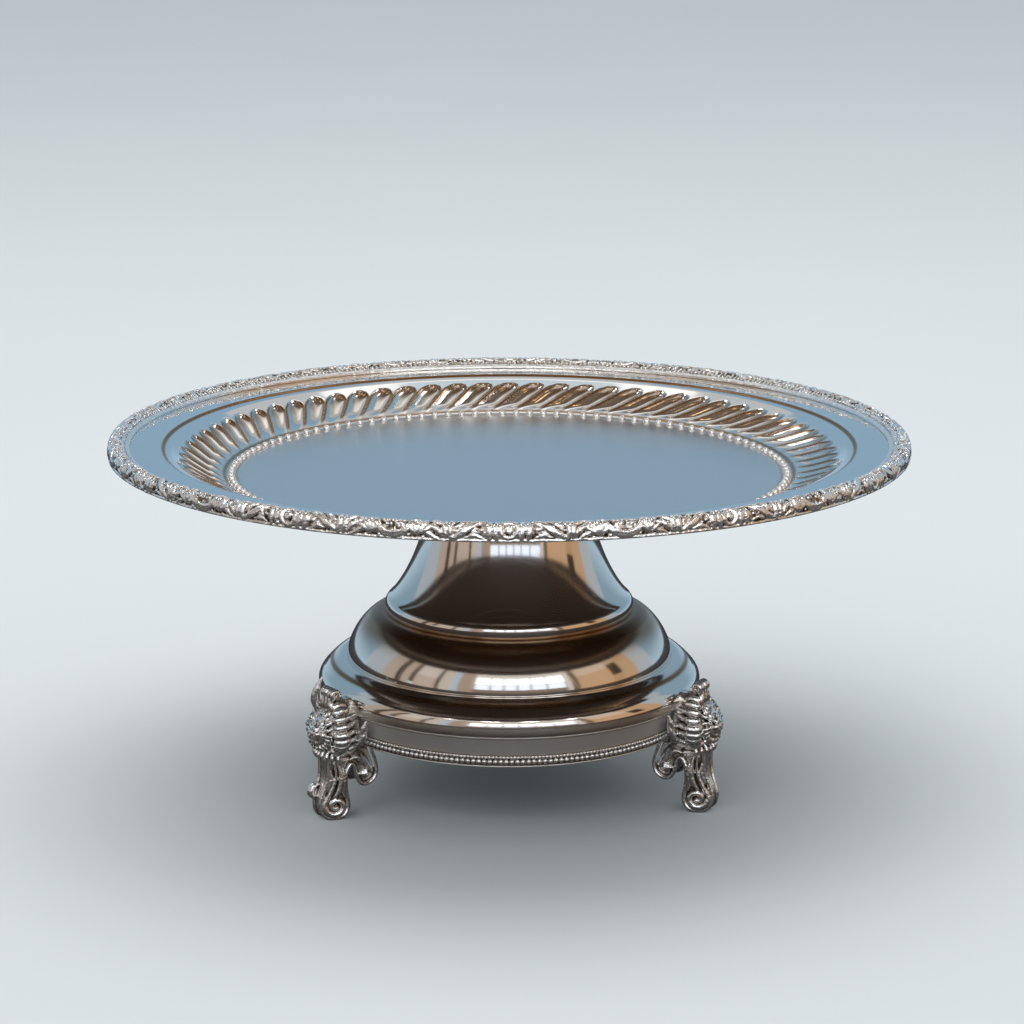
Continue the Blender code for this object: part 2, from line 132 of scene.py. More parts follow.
class SalverTray(PropertyGroup):
    """Sizes of the tray and its flutes."""

    sheet: length("Sheet", "Thickness of the raised sheet", 1.2)
    well_radius: length("Well radius", "Edge of the flat well", 115.5)
    cove_radius: length("Cove radius", "Outer edge of the fluted wall", 139.0)
    head_radius: length("Flute heads", "Rounded outer ends of the flutes", 135.6)
    rim_radius: length("Rim radius", "Inner edge of the flat rim", 142.6)
    well_depth: length("Well depth", "From the rim down to the well", 12.5)
    flutes: IntProperty(name="Flutes", description="Flutes round the wall", default=72, min=3)
    flute_depth: length("Flute depth", "Deepest part of a flute", 1.7)
    flute_sweep: FloatProperty(
        name="Flute sweep",
        description="How far round a flute turns from its head to its tail",
        default=math.radians(7.2),
        subtype="ANGLE",
    )


class SalverBorder(PropertyGroup):
    """Sizes of the cast border."""

    relief: length("Relief", "Height of the cast ornament over its ground", 1.05)
    width: length("Width", "From the inner edge to the outside", 9.0)
    gap: length("Seam", "Open seam between two castings", 0.3)
    first_seam: FloatProperty(
        name="First seam",
        description="Angle of the first seam",
        default=math.radians(15.0),
        subtype="ANGLE",
    )


class SalverBeads(PropertyGroup):
    """Sizes and counts of the strung beads."""

    tray_count: IntProperty(name="Tray beads", description="Beads round the well", default=118)
    tray_radius: length("Tray bead circle", "Radius of the circle of tray beads", 114.6)
    tray_size: length("Tray bead", "Radius of a tray bead", 1.6)
    base_count: IntProperty(name="Base beads", description="Beads round the ring", default=214)
    base_size: length("Base bead", "Radius of a base bead", 1.12)
    mill_count: IntProperty(name="Milling", description="Notches of the milled line", default=330)
    mill_size: length("Mill tooth", "Half height of a milled tooth", 0.62)


class SalverFeet(PropertyGroup):
    """Sizes of the cast feet."""

    voxel: length("Grain", "Fineness of the casting's surface", 0.32)
    inset: length("Inset", "How far the body lies under its ornament", 0.5)


class SalverFinish(PropertyGroup):
    """Colours of the metals."""

    silver: colour("Silver", "Polished silver", (0.94, 0.92, 0.89))
    cast_silver: colour("Cast silver", "Raised parts of the castings", (0.92, 0.90, 0.87))
    # Tarnish, warm tarnish and brown tarnish also paint shade and a dark reflection: on the beads'
    # sides and undersides, behind the beads on the ring, over the tray's flutes, and on the base's
    # upper dome under the neck.
    tarnish_and_shade: colour("Tarnish", "Darkened silver in the recesses", (0.085, 0.066, 0.052))
    amber: colour("Warm tarnish", "Thin warm tarnish beside the recesses", (0.60, 0.49, 0.38))
    brown: colour("Brown tarnish", "Thick tarnish in the sheet's grooves", (0.30, 0.17, 0.085))
    brass: colour("Brass", "Boss under the tray", (0.62, 0.43, 0.17))
    steel: colour("Steel", "Stud, washer and nut", (0.52, 0.52, 0.53))


class SalverStage(PropertyGroup):
    """Colours and lights of the stage."""

    floor: colour("Floor", "Plain pale floor", (0.72, 0.71, 0.69))
    air: colour("Backdrop", "Plain backdrop", (0.56, 0.65, 0.72))
    wall: colour("Wall card", "Card that the tray mirrors", (0.25, 0.385, 0.515))
    wall_foot: colour("Wall card foot", "Lower part of that card", (0.46, 0.63, 0.78))
    table: colour("Table card", "Dark card that the foot mirrors", (0.022, 0.014, 0.010))
    softbox: FloatProperty(name="Softbox", description="Overhead light", default=26.0, unit="POWER")
    fill: FloatProperty(name="Fill", description="Strength of the front light", default=0.45)


class SalverSettings(PropertyGroup):
    """Everything that a user would change."""

    tray: PointerProperty(type=SalverTray)
    border: PointerProperty(type=SalverBorder)
    beads: PointerProperty(type=SalverBeads)
    feet: PointerProperty(type=SalverFeet)
    finish: PointerProperty(type=SalverFinish)
    stage: PointerProperty(type=SalverStage)


# --- lines -------------------------------------------------------------------------


def arc(centre, radii, first, last, steps):
    """Points of an elliptical arc, with its angles in degrees."""
    angles = np.radians(np.linspace(first, last, steps + 1))
    across = centre[0] + radii[0] * np.cos(angles)
    up = centre[1] + radii[1] * np.sin(angles)
    return np.column_stack((across, up))


def bezier(start, leave, arrive, end, steps):
    """Points of a cubic curve, its two ends included."""
    t = np.linspace(0.0, 1.0, steps + 1)[:, None]
    points = [np.asarray(p, float) for p in (start, leave, arrive, end)]
    weights = ((1 - t) ** 3, 3 * t * (1 - t) ** 2, 3 * t**2 * (1 - t), t**3)
    return sum(weight * point for weight, point in zip(weights, points))


def straight(start, end, steps):
    """Points of a straight run, its two ends included."""
    t = np.linspace(0.0, 1.0, steps + 1)[:, None]
    return (1 - t) * np.asarray(start, float) + t * np.asarray(end, float)


def chain(*runs):
    """Runs joined end to end, without the points that they share."""
    points = [np.asarray(runs[0], float).reshape(-1, 2)]
    for run in runs[1:]:
        run = np.asarray(run, float).reshape(-1, 2)
        same = np.linalg.norm(run[0] - points[-1][-1]) < 1e-7
        points.append(run[1:] if same else run)
    return np.concatenate(points)


def side_normals(line):
    """Unit normals on the left of an open line."""
    run = np.gradient(line, axis=0)
    run /= np.maximum(np.linalg.norm(run, axis=1, keepdims=True), 1e-12)
    return np.column_stack((-run[:, 1], run[:, 0]))


def walled(face, thickness):
    """Closed outline of a sheet: its face, then its back on the right of the face."""
    back = face - side_normals(face) * thickness
    return np.concatenate((face, back[::-1]))


def smooth_step(low, high, value):
    """Nought below low, one above high, and an S between them."""
    t = np.clip((value - low) / (high - low), 0.0, 1.0)
    return t * t * (3 - 2 * t)


def bump(middle, width, value):
    """A soft ridge of height one."""
    return np.exp(-(((value - middle) / width) ** 2))


def through(points, steps):
    """A smooth curve through the points (Catmull-Rom), with steps points for each span."""
    points = np.asarray(points, float)
    ends = np.concatenate((2 * points[:1] - points[1:2], points, 2 * points[-1:] - points[-2:-1]))
    t = np.linspace(0.0, 1.0, steps, endpoint=False)[:, None]
    spans = []
    for before, start, end, after in zip(ends, ends[1:], ends[2:], ends[3:]):
        linear = (end - before) * t
        square = (2 * before - 5 * start + 4 * end - after) * t**2
        cube = (3 * start - before - 3 * end + after) * t**3
        spans.append(start + 0.5 * (linear + square + cube))
    spans.append(points[-1:])
    return np.concatenate(spans)


def spread(values, count):
    """A few values spread evenly over count points."""
    return np.interp(np.linspace(0, 1, count), np.linspace(0, 1, len(values)), values)


# --- meshes ------------------------------------------------------------------------


def grid_faces(rows, columns, wrap_rows=False, wrap_columns=True):
    """Quads of a grid whose points are numbered row by row."""
    row, column = np.meshgrid(
        np.arange(rows if wrap_rows else rows - 1),
        np.arange(columns if wrap_columns else columns - 1),
        indexing="ij",
    )
    next_row = (row + 1) % rows
    next_column = (column + 1) % columns
    corners = (
        row * columns + column,
        row * columns + next_column,
        next_row * columns + next_column,
        next_row * columns + column,
    )
    return np.stack(corners, axis=-1).reshape(-1, 4).tolist()


def signed_volume(points, faces):
    """Six times the volume inside a closed mesh, negative where it is inside out."""
    total = 0.0
    for size in {len(face) for face in faces}:
        group = np.array([face for face in faces if len(face) == size])
        for corner in range(1, size - 1):
            a, b, c = (points[group[:, i]] for i in (0, corner, corner + 1))
            total += float(np.einsum("ij,ij->", a, np.cross(b, c)))
    return total


def solid(name, points, faces, patina_and_shade=None):
    """A smooth closed mesh that faces outwards, with its patina and painted shade kept on its points.
    """
    points = np.asarray(points, float).reshape(-1, 3)
    if signed_volume(points, faces) < 0:
        faces = [face[::-1] for face in faces]
    mesh = bpy.data.meshes.new(name)
    mesh.from_pydata(points.tolist(), [], faces)
    mesh.update()
    mesh.shade_smooth()
    store_patina_and_shade(mesh, np.zeros(len(points)) if patina_and_shade is None else patina_and_shade)
    return mesh


def store_patina_and_shade(mesh, values):
    """Keeps how dark each point is made, from nought to one: tarnish, and on some pieces painted shade
    and a painted dark reflection.
    """
    attribute = mesh.attributes.new("patina_and_shade", "FLOAT", "POINT")
    clipped = np.clip(np.ravel(values), 0.0, 1.0).astype(np.float32)
    attribute.data.foreach_set("value", clipped)


def spin(outline, segments):
    """Rings of points of an outline turned about the upright axis."""
    angles = np.linspace(0.0, 2 * math.pi, segments, endpoint=False)
    radius = outline[:, 0][:, None]
    level = np.repeat(outline[:, 1][:, None], segments, axis=1)
    return np.stack((radius * np.cos(angles), radius * np.sin(angles), level), axis=-1)


def turned(name, outline, segments, patina_and_shade=None):
    """A closed ring-shaped solid of revolution."""
    rings = spin(outline, segments)
    faces = grid_faces(len(outline), segments, wrap_rows=True)
    dark = None if patina_and_shade is None else np.repeat(patina_and_shade, segments)
    return solid(name, rings, faces, dark)


def place(name, mesh, material, slot, *nodes):
    """Puts a finished mesh in the scene in place of its CAD nodes."""
    piece = bpy.data.objects.new(name, mesh)
    bpy.context.scene.collection.objects.link(piece)
    mesh.materials.clear()
    mesh.materials.append(material)
    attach(piece, "root")
    if nodes:
        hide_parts(*nodes)
    return piece


# --- shaders -----------------------------------------------------------------------


class Value:
    """A number that varies over a surface; its arithmetic adds Math nodes."""

    def __init__(self, shader, socket):
        self.shader = shader
        self.socket = socket

    def math(self, operation, *operands, clamp=False):
        """This value put through one Math node."""
        settings = {"operation": operation, "use_clamp": clamp}
        node = self.shader.node("ShaderNodeMath", settings, dict(enumerate(operands)))
        return Value(self.shader, node.outputs[0])

    def __add__(self, other):
        return self.math("ADD", self, other)

    __radd__ = __add__

    def __sub__(self, other):
        return self.math("SUBTRACT", self, other)

    def __rsub__(self, other):
        return self.math("SUBTRACT", other, self)

    def __mul__(self, other):
        return self.math("MULTIPLY", self, other)

    __rmul__ = __mul__

    def clamped(self):
        """This value kept between nought and one."""
        return self.math("ADD", self, 0.0, clamp=True)

    def above(self, threshold, slope):
        """Rises from nought at the threshold, and stops at one."""
        return ((self - threshold) * slope).clamped()


class Shader:
    """A node material with one Principled surface."""

    def __init__(self, name):
        self.material = bpy.data.materials.new(name)
        self.material.use_nodes = True
        self.nodes = self.material.node_tree.nodes
        self.links = self.material.node_tree.links
        self.nodes.clear()
        self.surface = self.node("ShaderNodeBsdfPrincipled")
        self.node("ShaderNodeOutputMaterial", {}, {"Surface": self.surface.outputs[0]})

    def node(self, kind, settings=None, inputs=None):
        """Adds a node: its settings first, then the values or links of its sockets."""
        node = self.nodes.new(kind)
        for name, setting in (settings or {}).items():
            setattr(node, name, setting)
        for socket, value in (inputs or {}).items():
            self.feed(node.inputs[socket], value)
        return node

    def feed(self, socket, value):
        """Links or sets one socket."""
        if isinstance(value, Value):
            value = value.socket
        if isinstance(value, bpy.types.NodeSocket):
            self.links.new(value, socket)
        elif socket.type == "RGBA" and len(value) == 3:
            socket.default_value = (*value, 1.0)
        else:
            socket.default_value = value

    def set(self, **inputs):
        """Sets sockets of the surface; an underscore stands for a space."""
        for name, value in inputs.items():
            self.feed(self.surface.inputs[name.replace("_", " ")], value)

    def where(self):
        """The place on the object."""
        return self.node("ShaderNodeTexCoord").outputs["Object"]

    def patina_and_shade(self):
        """The darkening kept on the mesh: tarnish, and on some pieces painted shade and a painted dark
        reflection.
        """
        node = self.node("ShaderNodeAttribute", {"attribute_name": "patina_and_shade"})
        return Value(self, node.outputs["Fac"])

    def noise(self, vector, scale, detail=2.0, roughness=0.5):
        """Cloudy noise between nought and one."""
        inputs = {"Vector": vector, "Scale": scale, "Detail": detail, "Roughness": roughness}
        return Value(self, self.node("ShaderNodeTexNoise", {}, inputs).outputs["Fac"])

    def stretched(self, vector, scale, turn=0.0):
        """The place, stretched by a scale for each axis and turned about the upright one."""
        inputs = {"Vector": vector, "Scale": scale, "Rotation": (0.0, 0.0, turn)}
        return self.node("ShaderNodeMapping", {}, inputs).outputs[0]

    def blend(self, factor, first, second):
        """A colour between two others."""
        settings = {"data_type": "RGBA", "clamp_factor": True}
        node = self.node("ShaderNodeMix", settings, {0: factor, 6: first, 7: second})
        return node.outputs[2]

    def radial(self, vector):
        """The distance from the upright axis, for marks left by spinning and turning."""
        flat = self.node("ShaderNodeVectorMath", {"operation": "MULTIPLY"}, {0: vector, 1: (1, 1, 0)})
        long = self.node("ShaderNodeVectorMath", {"operation": "LENGTH"}, {0: flat.outputs[0]})
        return Value(self, long.outputs["Value"])

    def height(self, vector):
        """The level above the ground."""
        node = self.node("ShaderNodeSeparateXYZ", {}, {"Vector": vector})
        return Value(self, node.outputs["Z"])

    def bumped(self, height, distance, strength=1.0, under=None):
        """A normal with the height laid over it."""
        inputs = {"Height": height, "Distance": distance, "Strength": strength}
        if under is not None:
            inputs["Normal"] = under
        return self.node("ShaderNodeBump", {}, inputs).outputs[0]


def hairlines(shader, vector):
    """Fine wiping scratches that cross each other, from nought to one."""
    lines = []
    for turn, long, fine in ((0.35, 22.0, 2300.0), (1.45, 30.0, 2900.0), (-0.75, 18.0, 1900.0)):
        streak = shader.noise(shader.stretched(vector, (long, fine, long), turn), 1.0, 1.0)
        lines.append(streak.above(0.60, 6.0))
    return (lines[0] + lines[1] + lines[2]).clamped()


def polished_silver(name, finish, roughness, ripple, spun, dull_radius=0.0, satin_level=0.0):
    """Polished sheet silver: wiping scratches, spinning marks, dark recesses, and painted shade and a
    painted dark reflection.

    Inside the dull radius it is clouded by use. Below the satin level it is left satin.
    """
    shader = Shader(name)
    where = shader.where()
    patina_and_shade = shader.patina_and_shade()
    cloud = shader.noise(where, 38.0, 4.0, 0.6)
    smear = shader.noise(where, 140.0, 3.0)
    scratches = hairlines(shader, where)
    radius = shader.radial(where)
    turning = shader.node("ShaderNodeCombineXYZ", {}, {"X": radius, "Z": cloud * 0.002})
    lathe = shader.noise(turning.outputs[0], 2600.0, 3.0, 0.7)
    # The darkening kept on the mesh turns the silver warm, then brown: tarnish, and painted shade over
    # the tray's flutes and a painted dark reflection on the base.
    film_and_shade = (patina_and_shade * 1.6 + cloud.above(0.55, 2.0) * 0.06).clamped()
    used = (dull_radius - radius).above(0.0, 900.0)
    satin = (satin_level - shader.height(where)).above(0.0, 900.0)
    worn = tuple(channel * 0.86 for channel in finish.silver)
    clean = shader.blend(used, tuple(finish.silver), worn)
    warm = shader.blend(film_and_shade, clean, tuple(finish.amber))
    shader.set(
        Base_Color=shader.blend(patina_and_shade.above(0.25, 2.0), warm, tuple(finish.brown)),
        Metallic=1.0,
        Roughness=(
            roughness
            + used * 0.13
            + satin * 0.34
            + cloud * 0.015
            + smear.above(0.5, 2.0) * 0.015
            + scratches * 0.04
            + lathe * 0.5 * spun
            + patina_and_shade * 0.30
        ),
    )
    waves = shader.bumped(shader.noise(where, 26.0, 1.0), ripple)
    marks = shader.bumped(lathe * spun * 10.0 + scratches * 0.35, 0.0000016, under=waves)
    shader.set(Normal=marks)
    return shader.material


def cast_silver(name, finish, roughness):
    """Cast and chased silver: bright tops, warm flanks, dark recesses, painted shade on the strung
    beads, and a fine grain.
    """
    shader = Shader(name)
    where = shader.where()
    patina_and_shade = shader.patina_and_shade()
    cloud = shader.noise(where, 90.0, 4.0, 0.6)
    grain = shader.noise(where, 1500.0, 3.0, 0.6)
    pits = shader.noise(where, 700.0, 2.0)
    chasing = shader.noise(shader.stretched(where, (420.0, 420.0, 900.0)), 1.0, 2.0, 0.6)
    dark = (patina_and_shade + (cloud - 0.5) * 0.35 * patina_and_shade + (pits - 0.5) * 0.14).clamped()
    warm = shader.blend(dark.above(0.28, 2.2), tuple(finish.cast_silver), tuple(finish.amber))
    shader.set(
        Base_Color=shader.blend(dark.above(0.39, 2.6), warm, tuple(finish.tarnish_and_shade)),
        Metallic=0.89 + dark * 0.11,
        Roughness=roughness + cloud * 0.06 + grain * 0.05 + dark * 0.30,
        Normal=shader.bumped(chasing * 2.2 + grain * 0.4 + pits * 0.8, 0.00012, 0.8),
    )
    return shader.material


def satin_silver(name, finish):
    """Turned silver that was left satin, with fine rings, soft stains, and painted shade behind the
    beads.
    """
    shader = Shader(name)
    where = shader.where()
    patina_and_shade = shader.patina_and_shade()
    dark_marks = shader.noise(where, 45.0, 4.0, 0.65)
    lathe = shader.noise(shader.stretched(where, (18.0, 18.0, 3200.0)), 1.0, 2.0, 0.7)
    film_and_shade = (patina_and_shade * 1.4 + dark_marks.above(0.45, 1.6) * 0.22).clamped()
    warm = shader.blend(film_and_shade, tuple(finish.cast_silver), tuple(finish.amber))
    shader.set(
        Base_Color=shader.blend(patina_and_shade.above(0.35, 1.5), warm, tuple(finish.tarnish_and_shade)),
        Metallic=0.94,
        Roughness=0.42 + lathe * 0.12 + dark_marks * 0.10 + patina_and_shade * 0.2,
        Normal=shader.bumped(lathe + dark_marks, 0.00002, 0.6),
    )
    return shader.material


def turned_brass(name, finish):
    """Turned brass that has dulled."""
    shader = Shader(name)
    where = shader.where()
    radius = shader.radial(where)
    dark_marks = shader.noise(where, 160.0, 5.0, 0.6)
    rings = shader.node("ShaderNodeCombineXYZ", {}, {"X": radius, "Z": dark_marks * 0.001})
    lathe = shader.noise(rings.outputs[0], 3000.0, 2.0)
    dull = tuple(channel * 0.45 for channel in finish.brass)
    shader.set(
        Base_Color=shader.blend(dark_marks.above(0.42, 3.0), tuple(finish.brass), dull),
        Metallic=1.0,
        Roughness=0.24 + dark_marks * 0.22 + lathe * 0.10,
        Normal=shader.bumped(lathe, 0.00003, 0.6),
    )
    return shader.material


def plated_steel(name, finish):
    """Zinc-plated steel with handling wear."""
    shader = Shader(name)
    where = shader.where()
    wear = shader.noise(where, 420.0, 5.0, 0.65)
    grain = shader.noise(shader.stretched(where, (900.0, 900.0, 90.0)), 1.0, 3.0)
    dull = tuple(channel * 0.55 for channel in finish.steel)
    shader.set(
        Base_Color=shader.blend(wear.above(0.45, 3.0), tuple(finish.steel), dull),
        Metallic=1.0,
        Roughness=0.26 + wear * 0.20 + grain * 0.10,
        Normal=shader.bumped(grain, 0.00004, 0.6),
    )
    return shader.material


def floor_paper(name, tint):
    """Pale matt paper with a faint tooth."""
    shader = Shader(name)
    where = shader.where()
    tooth = shader.noise(where, 900.0, 3.0)
    cloud = shader.noise(where, 3.0, 2.0)
    darker = tuple(channel * 0.96 for channel in tint)
    shader.set(
        Base_Color=shader.blend(cloud, tint, darker),
        Roughness=0.8 + tooth * 0.1,
        Specular_IOR_Level=0.0,
        Normal=shader.bumped(tooth, 0.0001, 0.3),
    )
    return shader.material


def dark_card(name, tint):
    """Dark brown card with a soft gloss, seen only in the silver."""
    shader = Shader(name)
    grain = shader.noise(shader.stretched(shader.where(), (3.0, 60.0, 1.0)), 1.0, 4.0)
    lighter = tuple(channel * 1.8 for channel in tint)
    shader.set(
        Base_Color=shader.blend(grain, tint, lighter),
        Roughness=0.5 + grain * 0.15,
        Specular_IOR_Level=0.12,
    )
    return shader.material


def glowing_card(name):
    """Card whose colour is kept on its points."""
    shader = Shader(name)
    tint = shader.node("ShaderNodeAttribute", {"attribute_name": "glow"}).outputs["Color"]
    shader.set(Base_Color=(0.0, 0.0, 0.0), Roughness=1.0, Specular_IOR_Level=0.0)
    shader.set(Emission_Color=tint, Emission_Strength=1.0)
    return shader.material


# --- tray --------------------------------------------------------------------------


def tray_line(tray):
    """Upper face of the tray without its flutes: radii and levels from the centre out."""
    well = RIM_LEVEL - tray.well_depth
    steps = (
        (tray.well_radius, well),
        (tray.well_radius + 2.0 * MM, well + 0.8 * MM),
        (tray.cove_radius, well + 11.1 * MM),
        (tray.rim_radius - 0.8 * MM, RIM_LEVEL - 0.8 * MM),
        (tray.rim_radius, RIM_LEVEL),
    )
    radii = [0.0]
    radii += np.linspace(20 * MM, 100 * MM, 5).tolist()
    radii += np.linspace(104 * MM, tray.well_radius - 0.5 * MM, 20).tolist()
    radii += np.linspace(tray.well_radius, tray.cove_radius + 0.6 * MM, 40).tolist()
    radii += np.linspace(tray.cove_radius + 1.2 * MM, tray.rim_radius + 0.2 * MM, 9).tolist()
    radii += np.linspace(tray.rim_radius + 0.6 * MM, 147 * MM, 10).tolist()
    radii += [150 * MM, 155 * MM, 158 * MM, TRAY_RADIUS]
    radii = np.array(radii)
    corners = np.array([(0.0, well), *steps, (TRAY_RADIUS, RIM_LEVEL)])
    return radii, np.interp(radii, corners[:, 0], corners[:, 1])


def flute_relief(tray, radii, angles):
    """(depth, edge) of the swept flutes: how far each point is pressed in, and its outline."""
    tail = tray.well_radius + 1.6 * MM
    along = np.clip((radii - tail) / (tray.head_radius - tail), 0.0, 1.0)
    turn = tray.flute_sweep * (1.0 - along) ** 1.35
    phase = (angles[None, :] - turn[:, None]) * tray.flutes / (2 * math.pi)
    across = phase - np.round(phase)
    head = np.sqrt(np.clip(1.0 - ((along - 0.72) / 0.28).clip(0.0, 1.0) ** 2, 0.0, 1.0))
    half = np.maximum(0.455 * head, 1e-4)[:, None]
    inside = np.clip(1.0 - (across / half) ** 2, 0.0, 1.0)
    tail_fade = smooth_step(0.0, 0.45, along)[:, None]
    depth = inside**0.8 * tail_fade * head[:, None] ** 0.5
    on_wall = ((along > 0.0) & (along < 1.0))[:, None]
    edge = bump(1.0, 0.13, np.abs(across) / half) * smooth_step(0.02, 0.25, along)[:, None]
    return depth * on_wall, edge * on_wall


def tray_mesh(tray):
    """The raised tray, with flutes that show on both of its faces."""
    segments = 14 * tray.flutes
    angles = np.linspace(0.0, 2 * math.pi, segments, endpoint=False)
    radii, levels = tray_line(tray)
    depth, edge = flute_relief(tray, radii, angles)
    upper = levels[:, None] - depth * tray.flute_depth
    for radius, width, cut in ((110.6, 0.35, 0.07), (145.0, 0.35, 0.06), (112.2, 0.5, 0.10)):
        upper = upper - (bump(radius * MM, width * MM, radii) * cut * MM)[:, None]
    # Painted shade in each flute's hollow, deeper toward its head, and in the corners at the foot of
    # the wall and under the rim; tarnish and painted shade along the flute outlines; tarnish in the
    # cut line at 112.4 mm.
    heads = smooth_step(128.0 * MM, 135.0 * MM, radii)[:, None]
    dark = edge * 0.85 + depth * (0.30 + 0.30 * heads)
    for radius, width, amount in ((112.4, 0.5, 0.5), (117.4, 1.0, 0.7), (142.2, 0.75, 1.0)):
        dark = dark + (bump(radius * MM, width * MM, radii) * amount)[:, None]
    lower = upper - tray.sheet
    under_dark = edge * 0.35 + 0.06
    rows = [upper[1:], lower[:0:-1]]
    rings = []
    for radius, level in zip(np.concatenate((radii[1:], radii[:0:-1])), np.concatenate(rows)):
        rings.append(np.column_stack((radius * np.cos(angles), radius * np.sin(angles), level)))
    count = len(rings)
    points = np.concatenate([*rings, [[0.0, 0.0, upper[0, 0]]], [[0.0, 0.0, lower[0, 0]]]])
    faces = grid_faces(count, segments)
    top_pole = count * segments
    last = (count - 1) * segments
    for step in range(segments):
        after = (step + 1) % segments
        faces.append([top_pole, after, step])
        faces.append([top_pole + 1, last + step, last + after])
    patina_and_shade = np.concatenate((dark[1:].ravel(), under_dark[:0:-1].ravel(), [0.0, 0.0]))
    return solid("tray", points, faces, patina_and_shade)


# --- border ------------------------------------------------------------------------


class Relief:
    """A height field over a flat strip, built up from rounded strokes and beads."""

    def __init__(self, along, across):
        self.along = along
        self.across = across
        self.height = np.zeros(np.broadcast(along, across).shape)

    def raise_to(self, height):
        """Keeps the higher of the field and another."""
        self.height = np.maximum(self.height, height)

    def bead(self, a, v, radius, tall=1.0):
        """A rounded bead."""
        far = ((self.along - a) / radius) ** 2 + ((self.across - v) / radius) ** 2
        self.raise_to(radius * tall * np.sqrt(np.clip(1.0 - far, 0.0, 1.0)))

    def stroke(self, points, radii, tall=1.0):
        """A rounded ridge through the points, whose radii are spread along it."""
        path = through(points, 6)
        widths = spread(radii, len(path))
        for start, end, first, last in zip(path, path[1:], widths, widths[1:]):
            run = end - start
            square = max(float(run @ run), 1e-9)
            offset = (self.along - start[0]) * run[0] + (self.across - start[1]) * run[1]
            t = np.clip(offset / square, 0.0, 1.0)
            far = np.hypot(
                self.along - start[0] - t * run[0], self.across - start[1] - t * run[1]
            )
            radius = first + (last - first) * t
            part = np.sqrt(np.clip(1.0 - (far / radius) ** 2, 0.0, 1.0))
            self.raise_to(radius * tall * part)


# Strokes of half a repeat of the border, in millimetres: points along and across, then radii.
BORDER_STROKES = (
    # cup and the lobes beside it
    (((0, 11.6), (2.1, 10.8), (3.1, 8.4), (2.2, 6.2), (0, 5.4)), (0.8, 0.85, 0.8)),
    (((4.4, 5.2), (5.0, 8.2), (4.6, 11.4)), (0.6, 1.25, 1.0)),
    (((6.6, 5.4), (7.4, 8.2), (7.2, 11.4)), (0.6, 1.2, 0.9)),
    # wing that falls from the crown to the outer edge, and the leaf above it
    (((8.2, 4.8), (11.2, 6.0), (15.0, 8.6), (19.4, 11.2)), (0.7, 1.1, 1.25, 0.9)),
    (((12.0, 4.2), (15.4, 5.2), (19.2, 7.8)), (0.4, 0.85, 0.5)),
    (((9.6, 11.4), (12.4, 10.4), (15.2, 11.2)), (0.4, 0.7, 0.4)),
    # bars
    (((20.8, 5.0), (21.3, 8.2), (21.0, 11.6)), (0.7, 1.05, 0.9)),
    (((23.0, 5.4), (23.4, 8.2), (23.1, 11.4)), (0.6, 0.95, 0.8)),
    # leaves
    (((24.4, 11.2), (26.2, 8.8), (29.2, 7.4)), (0.5, 1.0, 0.5)),
    (((24.2, 7.0), (26.6, 5.6), (29.2, 4.6)), (0.5, 0.9, 0.4)),
    (((26.0, 11.8), (28.6, 10.6), (30.8, 9.8)), (0.5, 0.9, 0.5)),
    (((28.4, 4.6), (31.2, 4.0), (33.6, 4.4)), (0.4, 0.7, 0.4)),
    # long scroll that hangs between two fans
    (((34.6, 5.0), (36.0, 8.0), (38.8, 10.4), (42.2, 11.2)), (0.7, 1.15, 1.3, 1.35)),
)
BORDER_BEADS = (
    (0.0, 8.4, 1.5),
    (14.2, 3.6, 0.6),
    (16.4, 4.1, 0.6),
    (18.4, 5.1, 0.6),
    (20.0, 6.3, 0.5),
    (10.2, 8.8, 0.5),
    (11.8, 9.4, 0.45),
    (25.2, 4.2, 0.6),
    (27.4, 7.2, 0.6),
    (29.9, 6.0, 0.7),
    (26.2, 10.2, 0.5),
    (31.0, 11.8, 0.5),
    (34.6, 4.9, 1.1),
    (36.6, 11.4, 0.6),
    (5.9, 4.2, 0.6),
    (2.0, 3.9, 0.7),
)
BORDER_REPEAT = 84.3  # millimetres of border in one repeat
BORDER_REPEATS = 12  # round the whole border
BORDER_BREADTH = 13.0  # millimetres across the ornament, from its inner to its outer edge
FAN = (32.9, 10.6)  # foot of a fan, along and across
FAN_REACH = (4.0, 4.9)


def uneven(along, across, grain, seed):
    """Smooth random heights between nought and one that repeat round the border."""
    cells = 512
    lattice = np.random.default_rng(seed).random((cells, cells))
    a = along / grain
    v = across / grain
    column = np.floor(a).astype(int)
    row = np.floor(v).astype(int)
    part_a = a - column
    part_v = v - row
    part_a = part_a * part_a * (3 - 2 * part_a)
    part_v = part_v * part_v * (3 - 2 * part_v)

    def corner(right, down):
        return lattice[(column + right) % cells, (row + down) % cells]

    near = corner(0, 0) * (1 - part_a) + corner(1, 0) * part_a
    far = corner(0, 1) * (1 - part_a) + corner(1, 1) * part_a
    return near * (1 - part_v) + far * part_v


